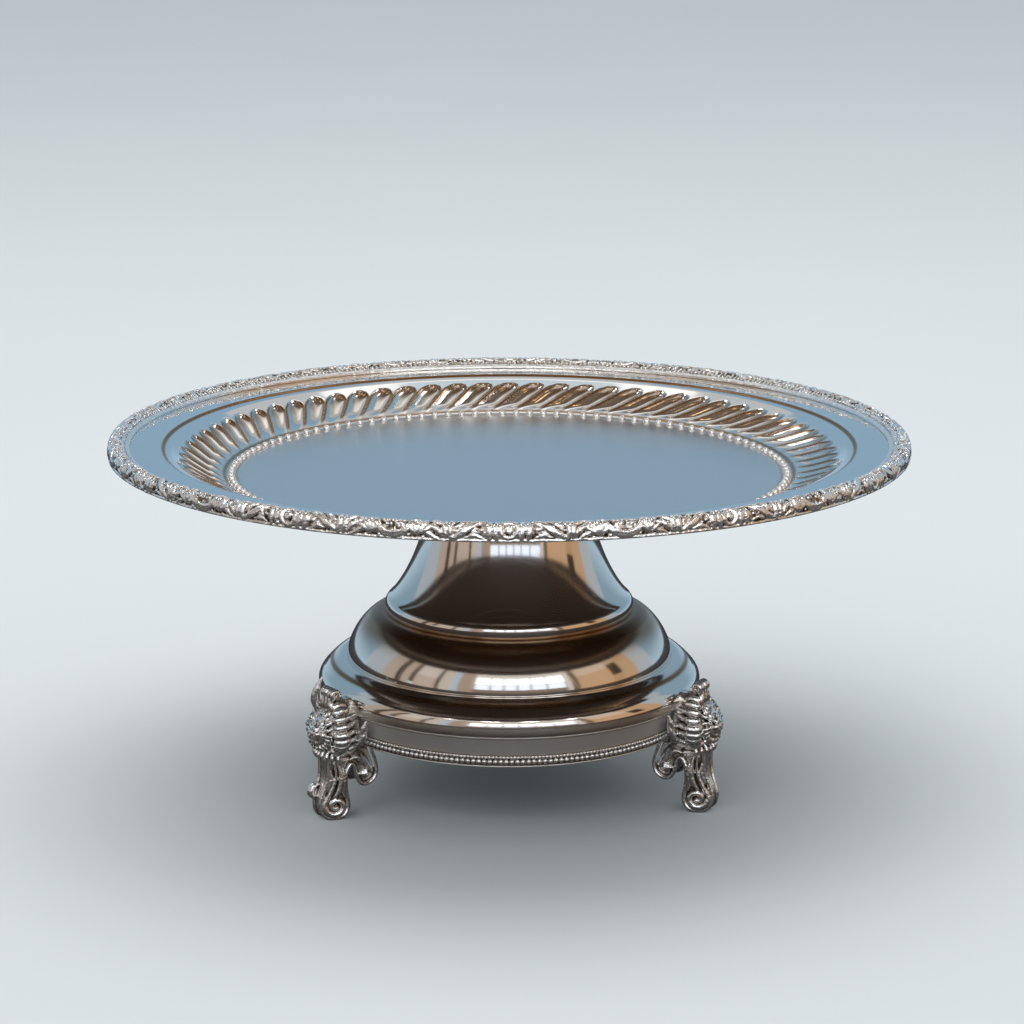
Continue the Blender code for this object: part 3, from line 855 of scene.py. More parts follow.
def border_relief(along, across):
    """Height in millimetres of the cast ornament over its ground."""
    warp_a = 0.9 * (uneven(along, across, 5.0, 3) - 0.5)
    warp_v = 0.7 * (uneven(along, across, 4.0, 5) - 0.5)
    side = np.abs((along + BORDER_REPEAT / 2) % BORDER_REPEAT - BORDER_REPEAT / 2)
    across = across + 0.0 * along
    relief = Relief(side + warp_a, across + warp_v)
    for points, radii in BORDER_STROKES:
        relief.stroke(points, radii)
    for turn in np.radians((-66, -34, 0, 34, 66)):
        tip = (FAN[0] + FAN_REACH[0] * math.sin(turn), FAN[1] - FAN_REACH[1] * math.cos(turn))
        middle = ((FAN[0] + tip[0]) / 2, (FAN[1] + tip[1]) / 2)
        relief.stroke((FAN, middle, tip), (0.5, 0.85, 0.8), 1.05)
    for a, v, radius in BORDER_BEADS:
        relief.bead(a, v, radius, 1.05)
    for row, level in enumerate((4.4, 5.9, 7.4)):
        for bead in np.arange(37.2 + 1.1 * row, 42.3, 1.45):
            relief.bead(bead, level, 0.62, 1.1)
    for bead in np.arange(0.0, 42.3, 2.1):
        relief.bead(bead, 3.0, 0.95, 0.45)
    edge = 0.35 * bump(0.35, 0.35, across)
    moulding = 0.55 * np.sqrt(np.clip(1.0 - ((across - 12.45) / 0.6) ** 2, 0.0, 1.0))
    relief.raise_to(edge)
    relief.raise_to(moulding)
    flank = 0.55 + 0.45 * smooth_step(2.0, 4.5, across)
    chasing = uneven(along, across, 0.75, 7) * 0.30 + uneven(along, across, 1.6, 9) * 0.25
    return relief.height * 0.9 + 0.08 + chasing * flank * (1.0 - 0.55 * relief.height).clip(0.2)


def border_ground(border):
    """Outline of a border section: the ground of its ornament, then its plain back."""
    inner = RIM_RADIUS - border.width
    crown = CREST_LEVEL - border.relief - 0.1 * MM
    outer = RIM_RADIUS - border.relief
    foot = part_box("border_section_1")[0].z

    def inward(across, up):
        """A point of the inner flank, from the inner edge and the rim's level."""
        return (inner + across * MM, RIM_LEVEL + up * MM)

    flank = inward(2.9, 2.1)
    top = (inner + 5.2 * MM, crown)
    side = (outer, crown - 3.4 * MM)
    face = chain(
        bezier(inward(0.15, 0.5), inward(0.5, 1.3), inward(1.5, 1.5), flank, 18),
        bezier(flank, inward(3.8, 2.6), (inner + 4.2 * MM, crown), top, 12),
        bezier(top, (outer - 1.2 * MM, crown), (outer, crown - 1.5 * MM), side, 24),
        straight(side, (outer, foot + 0.1 * MM), 16),
    )
    lip = RIM_RADIUS - 2.2 * MM
    seat = RIM_LEVEL + 0.3 * MM
    back = np.array([(lip, foot), (lip, seat), (inner, seat)])
    return face, back


def border_mesh(name, border, start, sweep):
    """One cast section of the border, closed at its seams."""
    columns = 440
    face, back = border_ground(border)
    spans = np.linalg.norm(np.diff(face, axis=0), axis=1)
    across = np.concatenate(([0.0], np.cumsum(spans)))
    across *= BORDER_BREADTH / across[-1]
    reference = RIM_RADIUS - 4.0 * MM
    margin = border.gap / 2 / reference
    angles = np.linspace(start + margin, start + sweep - margin, columns)
    along = angles * reference / MM
    repeat = 2 * math.pi * reference / MM / BORDER_REPEATS
    along = along * BORDER_REPEAT / repeat
    height = border_relief(along[None, :], across[:, None])
    lifted = np.minimum(height * MM, border.relief)
    fade = smooth_step(0.0, 0.3, across) * smooth_step(0.0, 0.3, BORDER_BREADTH - across)
    normal = side_normals(face)
    section = face[:, None, :] + normal[:, None, :] * (lifted * fade[:, None])[..., None]
    plain = np.repeat(back[:, None, :], columns, axis=1)
    outline = np.concatenate((section, plain))
    radius, level = outline[..., 0], outline[..., 1]
    points = np.stack((radius * np.cos(angles), radius * np.sin(angles), level), axis=-1)
    rows = len(outline)
    faces = grid_faces(rows, columns, wrap_rows=True, wrap_columns=False)
    faces.append([row * columns for row in range(rows)])
    faces.append([row * columns + columns - 1 for row in reversed(range(rows))])
    dark = (1.0 - smooth_step(0.05, 0.70, height)) * smooth_step(0.5, 3.2, across)[:, None]
    dark = np.concatenate((dark, np.full((len(back), columns), 0.15)))
    return solid(name, points, faces, dark)


# --- pedestal ----------------------------------------------------------------------


NOSE_ROUND = 3.2 * MM  # radius of the neck's nose
NOSE_RISE = 3.5 * MM  # from the neck's foot up to its nose
SHOULDER_ANGLE = 50  # where the neck's flare meets the nose, in degrees
SHOULDER_RUN = 7.0 * MM  # how far the shoulder's slope pulls the flare
BAND_RISE = 4.9 * MM  # height of the base's band
LOWER_DOME_RISE = 5.9 * MM
UPPER_DOME_RISE = 19.9 * MM
UPPER_STEP = 16.0 * MM  # from the neck's nose out to the upper dome's side
CREASE_LEVEL = BASE_FOOT.z + BAND_RISE + LOWER_DOME_RISE


def neck_line():
    """Outer face of the neck, from the hole in its top down to the foot's edge."""
    head = NECK_HEAD.z
    nose = NECK_HEAD.x
    waist = (nose - 16.6 * MM, head - 12.0 * MM)
    flare = (waist[0] + 1.8 * MM, head)
    nose_centre = (nose - NOSE_ROUND, NECK_FOOT.z + NOSE_RISE)
    shoulder = arc(nose_centre, (NOSE_ROUND, NOSE_ROUND), SHOULDER_ANGLE, 0, 12)
    slope = math.radians(SHOULDER_ANGLE)
    run = np.array((-math.sin(slope), math.cos(slope))) * SHOULDER_RUN
    crown = ((waist[0] + 0.72 * MM, head - 2.4 * MM), (waist[0], head - 7.2 * MM))
    return chain(
        straight((3.3 * MM, head), flare, 4),
        bezier(flare, *crown, waist, 14),
        bezier(waist, (waist[0], waist[1] - 14.0 * MM), shoulder[0] + run, shoulder[0], 42),
        shoulder,
        arc(nose_centre, (NOSE_ROUND, 6.5 * MM), 0, -32.6, 10),
    )


def base_line():
    """Outer face of the base, from its collar down to the foot of its band."""
    foot = BASE_FOOT.z
    band = foot + BAND_RISE
    crease = CREASE_LEVEL
    ledge = crease + UPPER_DOME_RISE
    collar = NECK_HEAD.x - 2.3 * MM
    ledge_end = (collar + 4.0 * MM, ledge)
    dome = NECK_HEAD.x + UPPER_STEP
    dome_side = (dome, crease + 2.0 * MM)
    dome_foot = (dome - 0.4 * MM, crease)
    dome_pull = ((collar + 11.2 * MM, ledge), (dome, crease + 8.37 * MM))
    outside = BASE_HEAD.x
    shoulder = (outside - 2.4 * MM, band + 2.36 * MM)
    shoulder_pull = ((dome + 2.6 * MM, crease + 2.48 * MM), (dome + 6.2 * MM, crease + 0.3 * MM))
    side = (outside, foot + 2.94 * MM)
    side_pull = ((outside - 1.3 * MM, band + 1.3 * MM), (outside, foot + 4.6 * MM))
    edge = (outside - 0.5 * MM, foot)
    edge_pull = ((outside, foot + 1.6 * MM), (outside - 0.2 * MM, foot + 0.6 * MM))
    return chain(
        straight((collar, ledge + 2.0 * MM), (collar, ledge), 3),
        straight((collar, ledge), ledge_end, 5),
        bezier(ledge_end, *dome_pull, dome_side, 44),
        straight(dome_side, dome_foot, 4),
        bezier(dome_foot, *shoulder_pull, shoulder, 26),
        bezier(shoulder, *side_pull, side, 12),
        bezier(side, *edge_pull, edge, 6),
    )


def spun_mesh(name, line, dark_marks):
    """A spun shell with dark rings at the levels given as (level, width, amount), and its inner face
    darkened; on the base one ring paints a dark reflection.
    """
    outline = walled(line, -SPUN_WALL)
    dark = np.zeros(len(outline))
    for level, width, amount in dark_marks:
        dark += amount * bump(level, width, outline[:, 1])
    dark[len(line) :] += 0.25
    return turned(name, outline, SPUN_SEGMENTS, dark)


def ring_line():
    """Outline of the ring: its tapered outside, the step over the beads, and its inside."""
    foot = RING_FOOT.z
    head = RING_HEAD.z
    rebate = foot + 3.8 * MM
    outside = RING_HEAD.x
    inside = outside - 5.3 * MM
    top = outside - 0.4 * MM
    lip = outside - 3.1 * MM
    bottom_inside = (inside, foot + 0.5 * MM)
    seat = (inside, rebate + 1.1 * MM)
    shelf = (outside - 1.5 * MM, head)
    return chain(
        straight((inside, foot), (lip, foot), 2),
        arc((lip, foot + 0.35 * MM), (0.4 * MM, 0.35 * MM), -80, 80, 5),
        straight((outside - 3.7 * MM, foot + 0.9 * MM), (outside - 3.8 * MM, rebate), 4),
        straight((outside - 3.8 * MM, rebate), (outside - 2.4 * MM, rebate), 2),
        arc((outside - 2.5 * MM, rebate + 0.55 * MM), (0.4 * MM, 0.55 * MM), -80, 80, 6),
        straight((outside - 2.25 * MM, rebate + 1.2 * MM), (outside - 0.25 * MM, head - 1.5 * MM), 14),
        arc((top, head - 1.0 * MM), (0.4 * MM, 0.45 * MM), -60, 60, 6),
        straight((top - 0.05 * MM, head - 0.4 * MM), (top, head), 2),
        straight((top, head), shelf, 2),
        straight(shelf, seat, 4),
        straight(seat, bottom_inside, 4),
    )


def ring_mesh():
    """The tapered ring, dark in its grooves, with painted shade behind the beads and on its inner
    faces.
    """
    line = ring_line()
    dark = 0.8 * bump(RING_FOOT.z + 4.9 * MM, 0.4 * MM, line[:, 1])
    dark += 0.5 * bump(RING_HEAD.z - 1.5 * MM, 0.3 * MM, line[:, 1])
    # Painted shade on the wall behind the beads and on the ring's bottom and inner faces.
    dark += 0.7 * (line[:, 0] < RING_HEAD.x - 3.0 * MM)
    return turned("ring", line, SPUN_SEGMENTS, dark)


# --- strung beads ------------------------------------------------------------------


def bead_tree():
    """Geometry Nodes tree that strings beads round a circle, with painted shade on each bead's sides
    and underside.
    """
    tree = bpy.data.node_groups.new("strung_beads", "GeometryNodeTree")
    face = tree.interface
    for name, kind in (
        ("Geometry", "NodeSocketGeometry"),
        ("Count", "NodeSocketInt"),
        ("Circle Radius", "NodeSocketFloat"),
        ("Level", "NodeSocketFloat"),
        ("Bead Size", "NodeSocketVector"),
        ("Metal", "NodeSocketMaterial"),
    ):
        face.new_socket(name, in_out="INPUT", socket_type=kind)
    face.new_socket("Geometry", in_out="OUTPUT", socket_type="NodeSocketGeometry")

    def add(kind, settings=None, inputs=None):
        node = tree.nodes.new(kind)
        for name, setting in (settings or {}).items():
            setattr(node, name, setting)
        for socket, value in (inputs or {}).items():
            if isinstance(value, bpy.types.NodeSocket):
                tree.links.new(value, node.inputs[socket])
            else:
                node.inputs[socket].default_value = value
        return node

    given = add("NodeGroupInput").outputs
    circle = add(
        "GeometryNodeMeshCircle",
        {"fill_type": "NONE"},
        {"Vertices": given["Count"], "Radius": given["Circle Radius"]},
    )
    lift = add("ShaderNodeCombineXYZ", {}, {"Z": given["Level"]})
    raised = add(
        "GeometryNodeSetPosition",
        {},
        {"Geometry": circle.outputs[0], "Offset": lift.outputs[0]},
    )
    position = add("GeometryNodeInputPosition").outputs[0]
    parts = add("ShaderNodeSeparateXYZ", {}, {0: position}).outputs
    angle = add("ShaderNodeMath", {"operation": "ARCTAN2"}, {0: parts["Y"], 1: parts["X"]})
    facing = add("ShaderNodeCombineXYZ", {}, {"Z": angle.outputs[0]})
    ball = add("GeometryNodeMeshUVSphere", {}, {"Segments": 10, "Rings": 6, "Radius": 1.0})
    # Painted shade: each bead is darkened on the sides that face its neighbours and on its underside,
    # and left bright on its top, front and back.
    sideways = add("ShaderNodeMath", {"operation": "ABSOLUTE"}, {0: parts["X"]})
    outward = add(
        "ShaderNodeMath", {"operation": "MAXIMUM"}, {0: sideways.outputs[0], 1: parts["Z"]}
    )
    painted_bead_shade = add(
        "ShaderNodeMath",
        {"operation": "MULTIPLY_ADD", "use_clamp": True},
        {0: outward.outputs[0], 1: -2.6, 2: 1.35},
    )
    shaded_ball = add(
        "GeometryNodeStoreNamedAttribute",
        {"data_type": "FLOAT", "domain": "POINT"},
        {"Geometry": ball.outputs["Mesh"], "Name": "patina_and_shade", "Value": painted_bead_shade.outputs[0]},
    )
    strung = add(
        "GeometryNodeInstanceOnPoints",
        {},
        {
            "Points": raised.outputs[0],
            "Instance": shaded_ball.outputs[0],
            "Rotation": facing.outputs[0],
            "Scale": given["Bead Size"],
        },
    )
    real = add("GeometryNodeRealizeInstances", {}, {0: strung.outputs[0]})
    smooth = add("GeometryNodeSetShadeSmooth", {}, {0: real.outputs[0]})
    painted = add(
        "GeometryNodeSetMaterial",
        {},
        {"Geometry": smooth.outputs[0], "Material": given["Metal"]},
    )
    add("NodeGroupOutput", {}, {0: painted.outputs[0]})
    return tree


def strung_mesh(name, tree, metal, count, circle, level, size):
    """Plain mesh of beads strung round a circle."""
    carrier = bpy.data.objects.new(name + "_carrier", bpy.data.meshes.new(name))
    bpy.context.scene.collection.objects.link(carrier)
    modifier = carrier.modifiers.new("beads", "NODES")
    modifier.node_group = tree
    values = {
        "Count": count,
        "Circle Radius": circle,
        "Level": level,
        "Bead Size": size,
        "Metal": metal,
    }
    for item in tree.interface.items_tree:
        if item.in_out == "INPUT" and item.name in values:
            modifier[item.identifier] = values[item.name]
    graph = bpy.context.evaluated_depsgraph_get()
    mesh = bpy.data.meshes.new_from_object(carrier.evaluated_get(graph))
    carrier.modifiers.remove(modifier)
    bpy.data.objects.remove(carrier)
    mesh.name = name
    return mesh


# --- feet --------------------------------------------------------------------------


class Casting:
    """Closed tubes and beads that are melted together into one casting, in millimetres."""

    def __init__(self):
        self.points = []
        self.faces = []

    def add(self, points, faces):
        """Takes in one closed shape."""
        start = sum(len(part) for part in self.points)
        self.points.append(np.asarray(points, float))
        self.faces += [[start + index for index in face] for face in faces]

    def strand(self, points, radii, steps=5, sides=8):
        """A tapering round tube through the points, closed at both ends."""
        path = through(points, steps)
        widths = spread(radii, len(path))
        run = np.gradient(path, axis=0)
        run /= np.maximum(np.linalg.norm(run, axis=1, keepdims=True), 1e-9)
        guide = np.array((0.0, 1.0, 0.0)) if np.ptp(path[:, 1]) < 4 else np.array((1.0, 0.0, 0.0))
        first = np.cross(run, guide)
        first /= np.maximum(np.linalg.norm(first, axis=1, keepdims=True), 1e-9)
        second = np.cross(run, first)
        turn = np.linspace(0, 2 * math.pi, sides, endpoint=False)
        circle = (
            np.cos(turn)[None, :, None] * first[:, None, :]
            + np.sin(turn)[None, :, None] * second[:, None, :]
        )
        tube = path[:, None, :] + circle * widths[:, None, None]
        rows = len(path)
        faces = grid_faces(rows, sides)
        tips = (path[0] - run[0] * widths[0] * 0.7, path[-1] + run[-1] * widths[-1] * 0.7)
        points = np.concatenate((tube.reshape(-1, 3), tips))
        for side in range(sides):
            after = (side + 1) % sides
            faces.append([rows * sides, after, side])
            faces.append([rows * sides + 1, (rows - 1) * sides + side, (rows - 1) * sides + after])
        self.add(points, faces)

    def ball(self, centre, radii, rings=8, segments=12):
        """An ellipsoid."""
        up = np.linspace(0, math.pi, rings + 1)[1:-1]
        turn = np.linspace(0, 2 * math.pi, segments, endpoint=False)
        shape = np.stack(
            (
                np.sin(up)[:, None] * np.cos(turn),
                np.sin(up)[:, None] * np.sin(turn),
                np.repeat(np.cos(up)[:, None], segments, axis=1),
            ),
            axis=-1,
        ).reshape(-1, 3)
        shape = np.concatenate((shape, [(0, 0, 1), (0, 0, -1)]))
        points = np.asarray(centre, float) + shape * np.asarray(radii, float)
        faces = grid_faces(rings - 1, segments)
        top = (rings - 1) * segments
        last = (rings - 2) * segments
        for side in range(segments):
            after = (side + 1) % segments
            faces.append([top, side, after])
            faces.append([top + 1, last + after, last + side])
        self.add(points, faces)


# Sizes of a foot as it stands along X, in millimetres.
TOE = (88.2, 6.0)  # middle of the toe's spiral, outward and up
LOBE = (73.9, 18.2)  # middle of the leg's inner lobe, outward and up
SHELL_FOOT = 26.0
SHELL_MIDDLE = 37.0
SHELL_HEIGHT = 27.0
SHELL_HALF_WIDTH = 13.0
SHELL_DEPTH = 15.0
SHELL_BACK = 79.1  # radius of the face that lies against the base
SHELL_STATIONS = (
    # height share, width share, depth share
    (0.00, 0.50, 0.74),
    (0.15, 0.80, 0.92),
    (0.40, 1.00, 1.00),
    (0.65, 0.96, 0.93),
    (0.85, 0.72, 0.86),
    (1.00, 0.50, 0.86),
)


def shell_front(side, level):
    """(outward, side, level) in millimetres of a point on the shell's front."""
    height, width, depth = np.array(SHELL_STATIONS).T
    share_up = np.clip((level - SHELL_FOOT) / SHELL_HEIGHT, 0.0, 1.0)
    half = SHELL_HALF_WIDTH * np.interp(share_up, height, width)
    deep = SHELL_DEPTH * np.interp(share_up, height, depth)
    share_out = np.clip(side / half, -1.0, 1.0)
    swell = 0.72 + 0.28 * math.cos(share_out * math.pi / 2)
    return (math.sqrt(SHELL_BACK**2 - side**2) + deep * swell, side, level)


def toe_spiral():
    """Side view of the leaf that runs down the leg and curls up in the toe."""
    turn = np.radians(np.linspace(15, -500, 22))
    reach = np.linspace(4.3, 0.7, 22)
    curl = zip(TOE[0] + reach * np.cos(turn), TOE[1] + reach * np.sin(turn))
    return [(88.4, 24.0), (88.0, 18.0), (90.0, 12.2), *curl]


def leg_ornament(casting, side):
    """Raised edge, flame-like leaves and a spiral on one broad face of the leg."""
    face = side * 5.3
    high = side * 5.9
    edge = (
        (90.7, 28), (90.6, 23), (91.0, 17), (92.6, 12), (94.0, 7.6), (93.4, 3.6), (91.0, 1.1),
        (88.2, 0.7), (85.2, 1.3), (83.0, 3.6), (82.5, 6.8), (83.2, 10.2), (83.7, 14.2),
        (83.2, 19.4), (81.4, 22.6), (79.6, 21.6), (78.8, 18.2), (76.8, 14.2), (73.6, 13.2),
        (70.0, 15.2), (69.0, 18.8), (69.8, 23.0), (71.4, 27.4),
    )
    casting.strand([(x, face * leg_share(x), z) for x, z in edge], (0.8, 0.95, 0.8), 4)
    leaves = (
        (toe_spiral(), (0.4, 1.25, 1.2, 1.1, 1.05, 0.95, 0.8)),
        (((86.6, 23.0), (85.9, 17.4), (86.8, 12.6), (88.8, 9.6)), (0.4, 1.2, 1.2, 0.5)),
        (((84.9, 21.0), (84.7, 16.0), (85.0, 12.2), (84.3, 9.2)), (0.4, 0.95, 0.9, 0.4)),
        (((89.9, 21.0), (89.7, 17.0), (91.4, 12.4)), (0.3, 0.7, 0.4)),
        (
            ((82.0, 25.0), (78.6, 25.4), (75.8, 23.0), (74.4, 19.2), (73.4, 16.2)),
            (0.5, 1.2, 0.9, 0.4),
        ),
    )
    for path, radii in leaves:
        casting.strand([(x, high * leg_share(x), z) for x, z in path], radii, 4)


def leg_front(casting):
    """Smooth rounded front of the leg and toe, and the fat flutes round the inner lobe."""
    front = ((90.0, 26), (89.4, 20), (90.0, 14.5), (91.4, 9.6), (91.4, 5.2), (89.4, 3.2))
    for lane in (-0.8, 0.8):
        casting.strand([(x, lane, z) for x, z in front], (1.6, 1.6, 1.8, 2.3, 2.3, 1.8), 5, 12)
    arch = ((80.8, 26.6), (77.8, 25.8), (75.6, 22.8), (74.4, 19.6), (74.2, 18.2))
    for lane in (-3.5, 0.0, 3.5):
        casting.strand([(x, lane, z) for x, z in arch], (1.7, 2.2, 3.3, 4.3), 5, 12)
        casting.ball((LOBE[0], lane, LOBE[1]), (4.2, 2.7, 4.3))
    under = ((84.4, 8.0), (84.8, 13.0), (84.2, 18.0), (82.2, 22.4), (79.6, 22.4))
    for lane in (-3.2, 0.0, 3.2):
        casting.strand([(x, lane, z) for x, z in under], (1.6, 1.5, 1.4, 1.2), 5, 10)


def side_leaves(casting, side):
    """Small curl beside the toe and tall leaf beside the shell, on one side only."""
    curl = ((91.0, 14.4), (93.8, 13.8), (95.4, 11.6), (94.6, 9.4), (93.0, 10.4))
    for lane in (side * 2.4, side * 4.0):
        casting.strand([(x, lane, z) for x, z in curl], (0.9, 1.1, 1.1, 0.8), 5)
    leaf = (
        (88.0, side * 6.8, 43.0), (90.0, side * 7.2, 48.5),
        (89.6, side * 6.4, 53.5), (87.8, side * 5.0, 58.6),
    )
    casting.strand(leaf, (1.5, 2.1, 1.5, 0.3), 6, 12)


def on_front(turn, share_out, lift):
    """A point of the shell's front at an angle from upright, raised off it."""
    upright = math.cos(turn)
    reach = 12.5 if upright > 0 else 10.0
    width = 12.2 - 4.6 * max(upright, 0.0) ** 1.5
    level = SHELL_MIDDLE + reach * upright * share_out
    x, y, z = shell_front(width * math.sin(turn) * share_out, level)
    return (x + lift - 6.2 * float(smooth_step(36.0, 52.0, level)), y, z)


def shell_fan(casting):
    """Ribs, two rings of radiating leaves and fat pleats round the edge."""
    for rib in range(12):
        turn = 2 * math.pi * rib / 12
        path = [on_front(turn, reach, -2.4) for reach in (0.05, 0.45, 0.85)]
        casting.strand(path, (1.9, 2.3, 1.8), 3)
    for leaf in range(22):
        turn = 2 * math.pi * (leaf + 0.5) / 22
        for first, lift in ((0.30, 0.2), (0.50, 0.5)):
            spots = ((first, lift), (first + 0.12, lift + 1.0), (first + 0.24, lift + 0.2))
            path = [on_front(turn, reach, height) for reach, height in spots]
            casting.strand(path, (0.4, 0.85, 0.55), 4)
    for pleat in range(-9, 10):
        turn = math.radians(pleat * 14.5)
        spots = ((0.84, 0.7), (0.94, 1.4), (1.0, 0.2))
        path = [on_front(turn, reach, height) for reach, height in spots]
        x, y, z = path[-1]
        path.append((x - 1.9, y * 1.04, z + 0.3))
        path.append((x - 3.3, y * 1.02, z + 0.4))
        casting.strand(path, (0.9, 1.5, 1.75, 1.6, 0.9), 4)


def shell_flower(casting):
    """Scattered dots and a flower of eight petals in the middle."""
    dots = np.random.default_rng(11)
    turns = dots.uniform(0, 2 * math.pi, 130)
    reaches = dots.uniform(0.30, 0.85, 130)
    sizes = dots.uniform(0.4, 0.8, 130)
    for turn, reach, size in zip(turns, reaches, sizes):
        casting.ball(on_front(turn, reach, 1.1), (size, size, size), 5, 8)
    for petal in range(8):
        turn = 2 * math.pi * petal / 8
        spots = ((0.06, 0.9), (0.18, 1.7), (0.30, 0.6))
        path = [on_front(turn, reach, height) for reach, height in spots]
        casting.strand(path, (0.6, 1.15, 0.7), 4)
    casting.ball(on_front(0.0, 0.0, 1.6), (1.1, 1.1, 1.1))


def shell_edges(casting):
    """Pleats and two leaves down each side, and a fringe of tips along the foot."""
    for side in (-1, 1):
        for level in (31.0, 34.2, 37.4, 40.6, 43.8):
            half = side * (10.6 - 0.22 * max(level - 38.0, 0.0))
            pleat = (
                (85.4, half, level),
                (83.2, half * 0.95, level + 0.5),
                (80.8, half * 0.90, level + 0.8),
            )
            casting.strand(pleat, (1.1, 1.2, 0.9), 4)
        for foot, tip in ((33.0, 39.5), (36.5, 43.0)):
            leaf = (
                (80.4, side * 11.6, foot),
                (79.6, side * 13.4, foot + 3.4),
                (79.0, side * 14.4, tip),
            )
            casting.strand(leaf, (1.5, 1.5, 0.5), 5)
    for tip in range(-4, 5):
        x, y, z = shell_front(tip * 2.2, 29.5)
        path = ((x - 0.4, y, z), (x + 0.7, y * 1.10, 27.4), (x + 0.3, y * 1.16, 25.6))
        casting.strand(path, (0.7, 0.85, 0.35), 4)


def shell_ornament(casting):
    """All that is laid on the shell: fan, flower, edges and volute."""
    shell_fan(casting)
    shell_flower(casting)
    shell_edges(casting)
    volute(casting)


def volute(casting):
    """Ribbed roll across the top of the shell, and the stalks that carry it."""
    centre = np.array((86.8, 52.6))
    for lane in (-3.6, -1.2, 1.2, 3.6):
        turn = np.radians(np.linspace(-60, 300, 13))
        reach = np.linspace(1.9, 0.6, 13)
        path = [
            (centre[0] + r * math.cos(t), lane, centre[1] + r * math.sin(t))
            for t, r in zip(turn, reach)
        ]
        casting.strand(path, (1.15, 1.1, 0.8), 3)
    for lane in (-2.4, 0.0, 2.4):
        neck = ((88.4, lane * 1.5, 44.5), (88.6, lane * 1.1, 48.0), (88.4, lane, 51.0))
        casting.strand(neck, (1.2, 1.6, 1.2), 4)


def cavity(mesh, passes, scale):
    """How far each point lies in a hollow, from nought to one."""
    count = len(mesh.vertices)
    points = np.empty(count * 3)
    mesh.vertices.foreach_get("co", points)
    points = points.reshape(-1, 3)
    normals = np.empty(count * 3, np.float32)
    mesh.vertex_normals.foreach_get("vector", normals)
    ends = np.empty(len(mesh.edges) * 2, np.int32)
    mesh.edges.foreach_get("vertices", ends)
    first, second = ends.reshape(-1, 2).T
    neighbours = np.bincount(first, minlength=count) + np.bincount(second, minlength=count)
    smooth = points.copy()
    for _ in range(passes):
        total = np.empty_like(smooth)
        for axis in range(3):
            column = smooth[:, axis]
            total[:, axis] = np.bincount(first, column[second], count)
            total[:, axis] += np.bincount(second, column[first], count)
        smooth = total / np.maximum(neighbours, 1)[:, None]
    hollow = np.einsum("ij,ij->i", smooth - points, normals.reshape(-1, 3))
    return np.clip(0.32 + hollow / scale, 0.0, 1.0)


def foot_body(angle, inset):
    """Copy of the CAD foot turned to face outwards along X, merged and drawn in a little."""
    mesh = frame["nodes"]["foot_right"].data.copy()
    mesh.transform(Matrix.Rotation(-angle, 4, "Z"))
    mesh.transform(Matrix.Scale(1 / MM, 4))
    body = bpy.data.objects.new("foot_body", mesh)
    bpy.context.scene.collection.objects.link(body)
    weld = body.modifiers.new("weld", "WELD")
    weld.merge_threshold = 0.001
    shrink = body.modifiers.new("shrink", "DISPLACE")
    shrink.mid_level = 0.0
    shrink.strength = -inset / MM
    graph = bpy.context.evaluated_depsgraph_get()
    merged = bpy.data.meshes.new_from_object(body.evaluated_get(graph))
    bpy.data.objects.remove(body)
    points = [slimmed(vertex.co) for vertex in merged.vertices]
    faces = [list(polygon.vertices) for polygon in merged.polygons]
    return points, faces


def slimmed(point):
    """A point of the foot's body, drawn in under the leg's relief and the shell's fan."""
    x, y, z = point
    if z < 25.9:
        return (x, y * leg_share(x), z)
    rise = float(smooth_step(38.0, 53.0, z))
    depth = x - 79.0
    if depth > 0.0:
        x = 79.0 + depth * (1.0 - 0.44 * rise)
    waist = 1.0 - float(smooth_step(80.0, 86.0, x))
    return (x, y * (0.86 - 0.34 * rise - 0.16 * waist), z - 3.0 * rise)


def leg_share(x):
    """How wide the leg is at a distance from the axis, as a share of its full width."""
    return 1.0 - 0.58 * float(smooth_step(84.0, 96.0, x))


def foot_mesh(feet, leafy_side):
    """One casting in its own place along X, with its patina and leaves on one side or none."""
    casting = Casting()
    casting.add(*foot_body(FOOT_ANGLES["foot_right"], feet.inset))
    for side in (-1, 1):
        leg_ornament(casting, side)
        casting.ball((88.0, side * 2.0, 6.0), (5.2, 2.8, 5.0))
    leg_front(casting)
    if leafy_side:
        side_leaves(casting, leafy_side)
    shell_ornament(casting)
    mesh = bpy.data.meshes.new("foot")
    mesh.from_pydata(np.concatenate(casting.points).tolist(), [], casting.faces)
    lump = bpy.data.objects.new("foot_lump", mesh)
    bpy.context.scene.collection.objects.link(lump)
    melt = lump.modifiers.new("melt", "REMESH")
    melt.mode = "VOXEL"
    melt.voxel_size = feet.voxel / MM
    melt.use_smooth_shade = True
    ease = lump.modifiers.new("ease", "SMOOTH")
    ease.factor = 0.5
    ease.iterations = 2
    graph = bpy.context.evaluated_depsgraph_get()
    cast = bpy.data.meshes.new_from_object(lump.evaluated_get(graph))
    bpy.data.objects.remove(lump)
    points = np.empty(len(cast.vertices) * 3, np.float32)
    cast.vertices.foreach_get("co", points)
    points = points.reshape(-1, 3)
    points[:, 2] = np.maximum(points[:, 2], 0.0)
    cast.vertices.foreach_set("co", points.ravel())
    cast.update()
    store_patina_and_shade(cast, cavity(cast, 14, 0.55))
    cast.transform(Matrix.Scale(MM, 4))
    cast.shade_smooth()
    return cast


# --- stage -------------------------------------------------------------------------


def card(name, half, level=0.0):
    """A level square sheet of the stage, given by half its side."""
    corners = ((-half, -half), (half, -half), (half, half), (-half, half))
    mesh = bpy.data.meshes.new(name)
    mesh.from_pydata([(x, y, level) for x, y in corners], [], [[0, 1, 2, 3]])
    sheet = bpy.data.objects.new(name, mesh)
    bpy.context.scene.collection.objects.link(sheet)
    return sheet


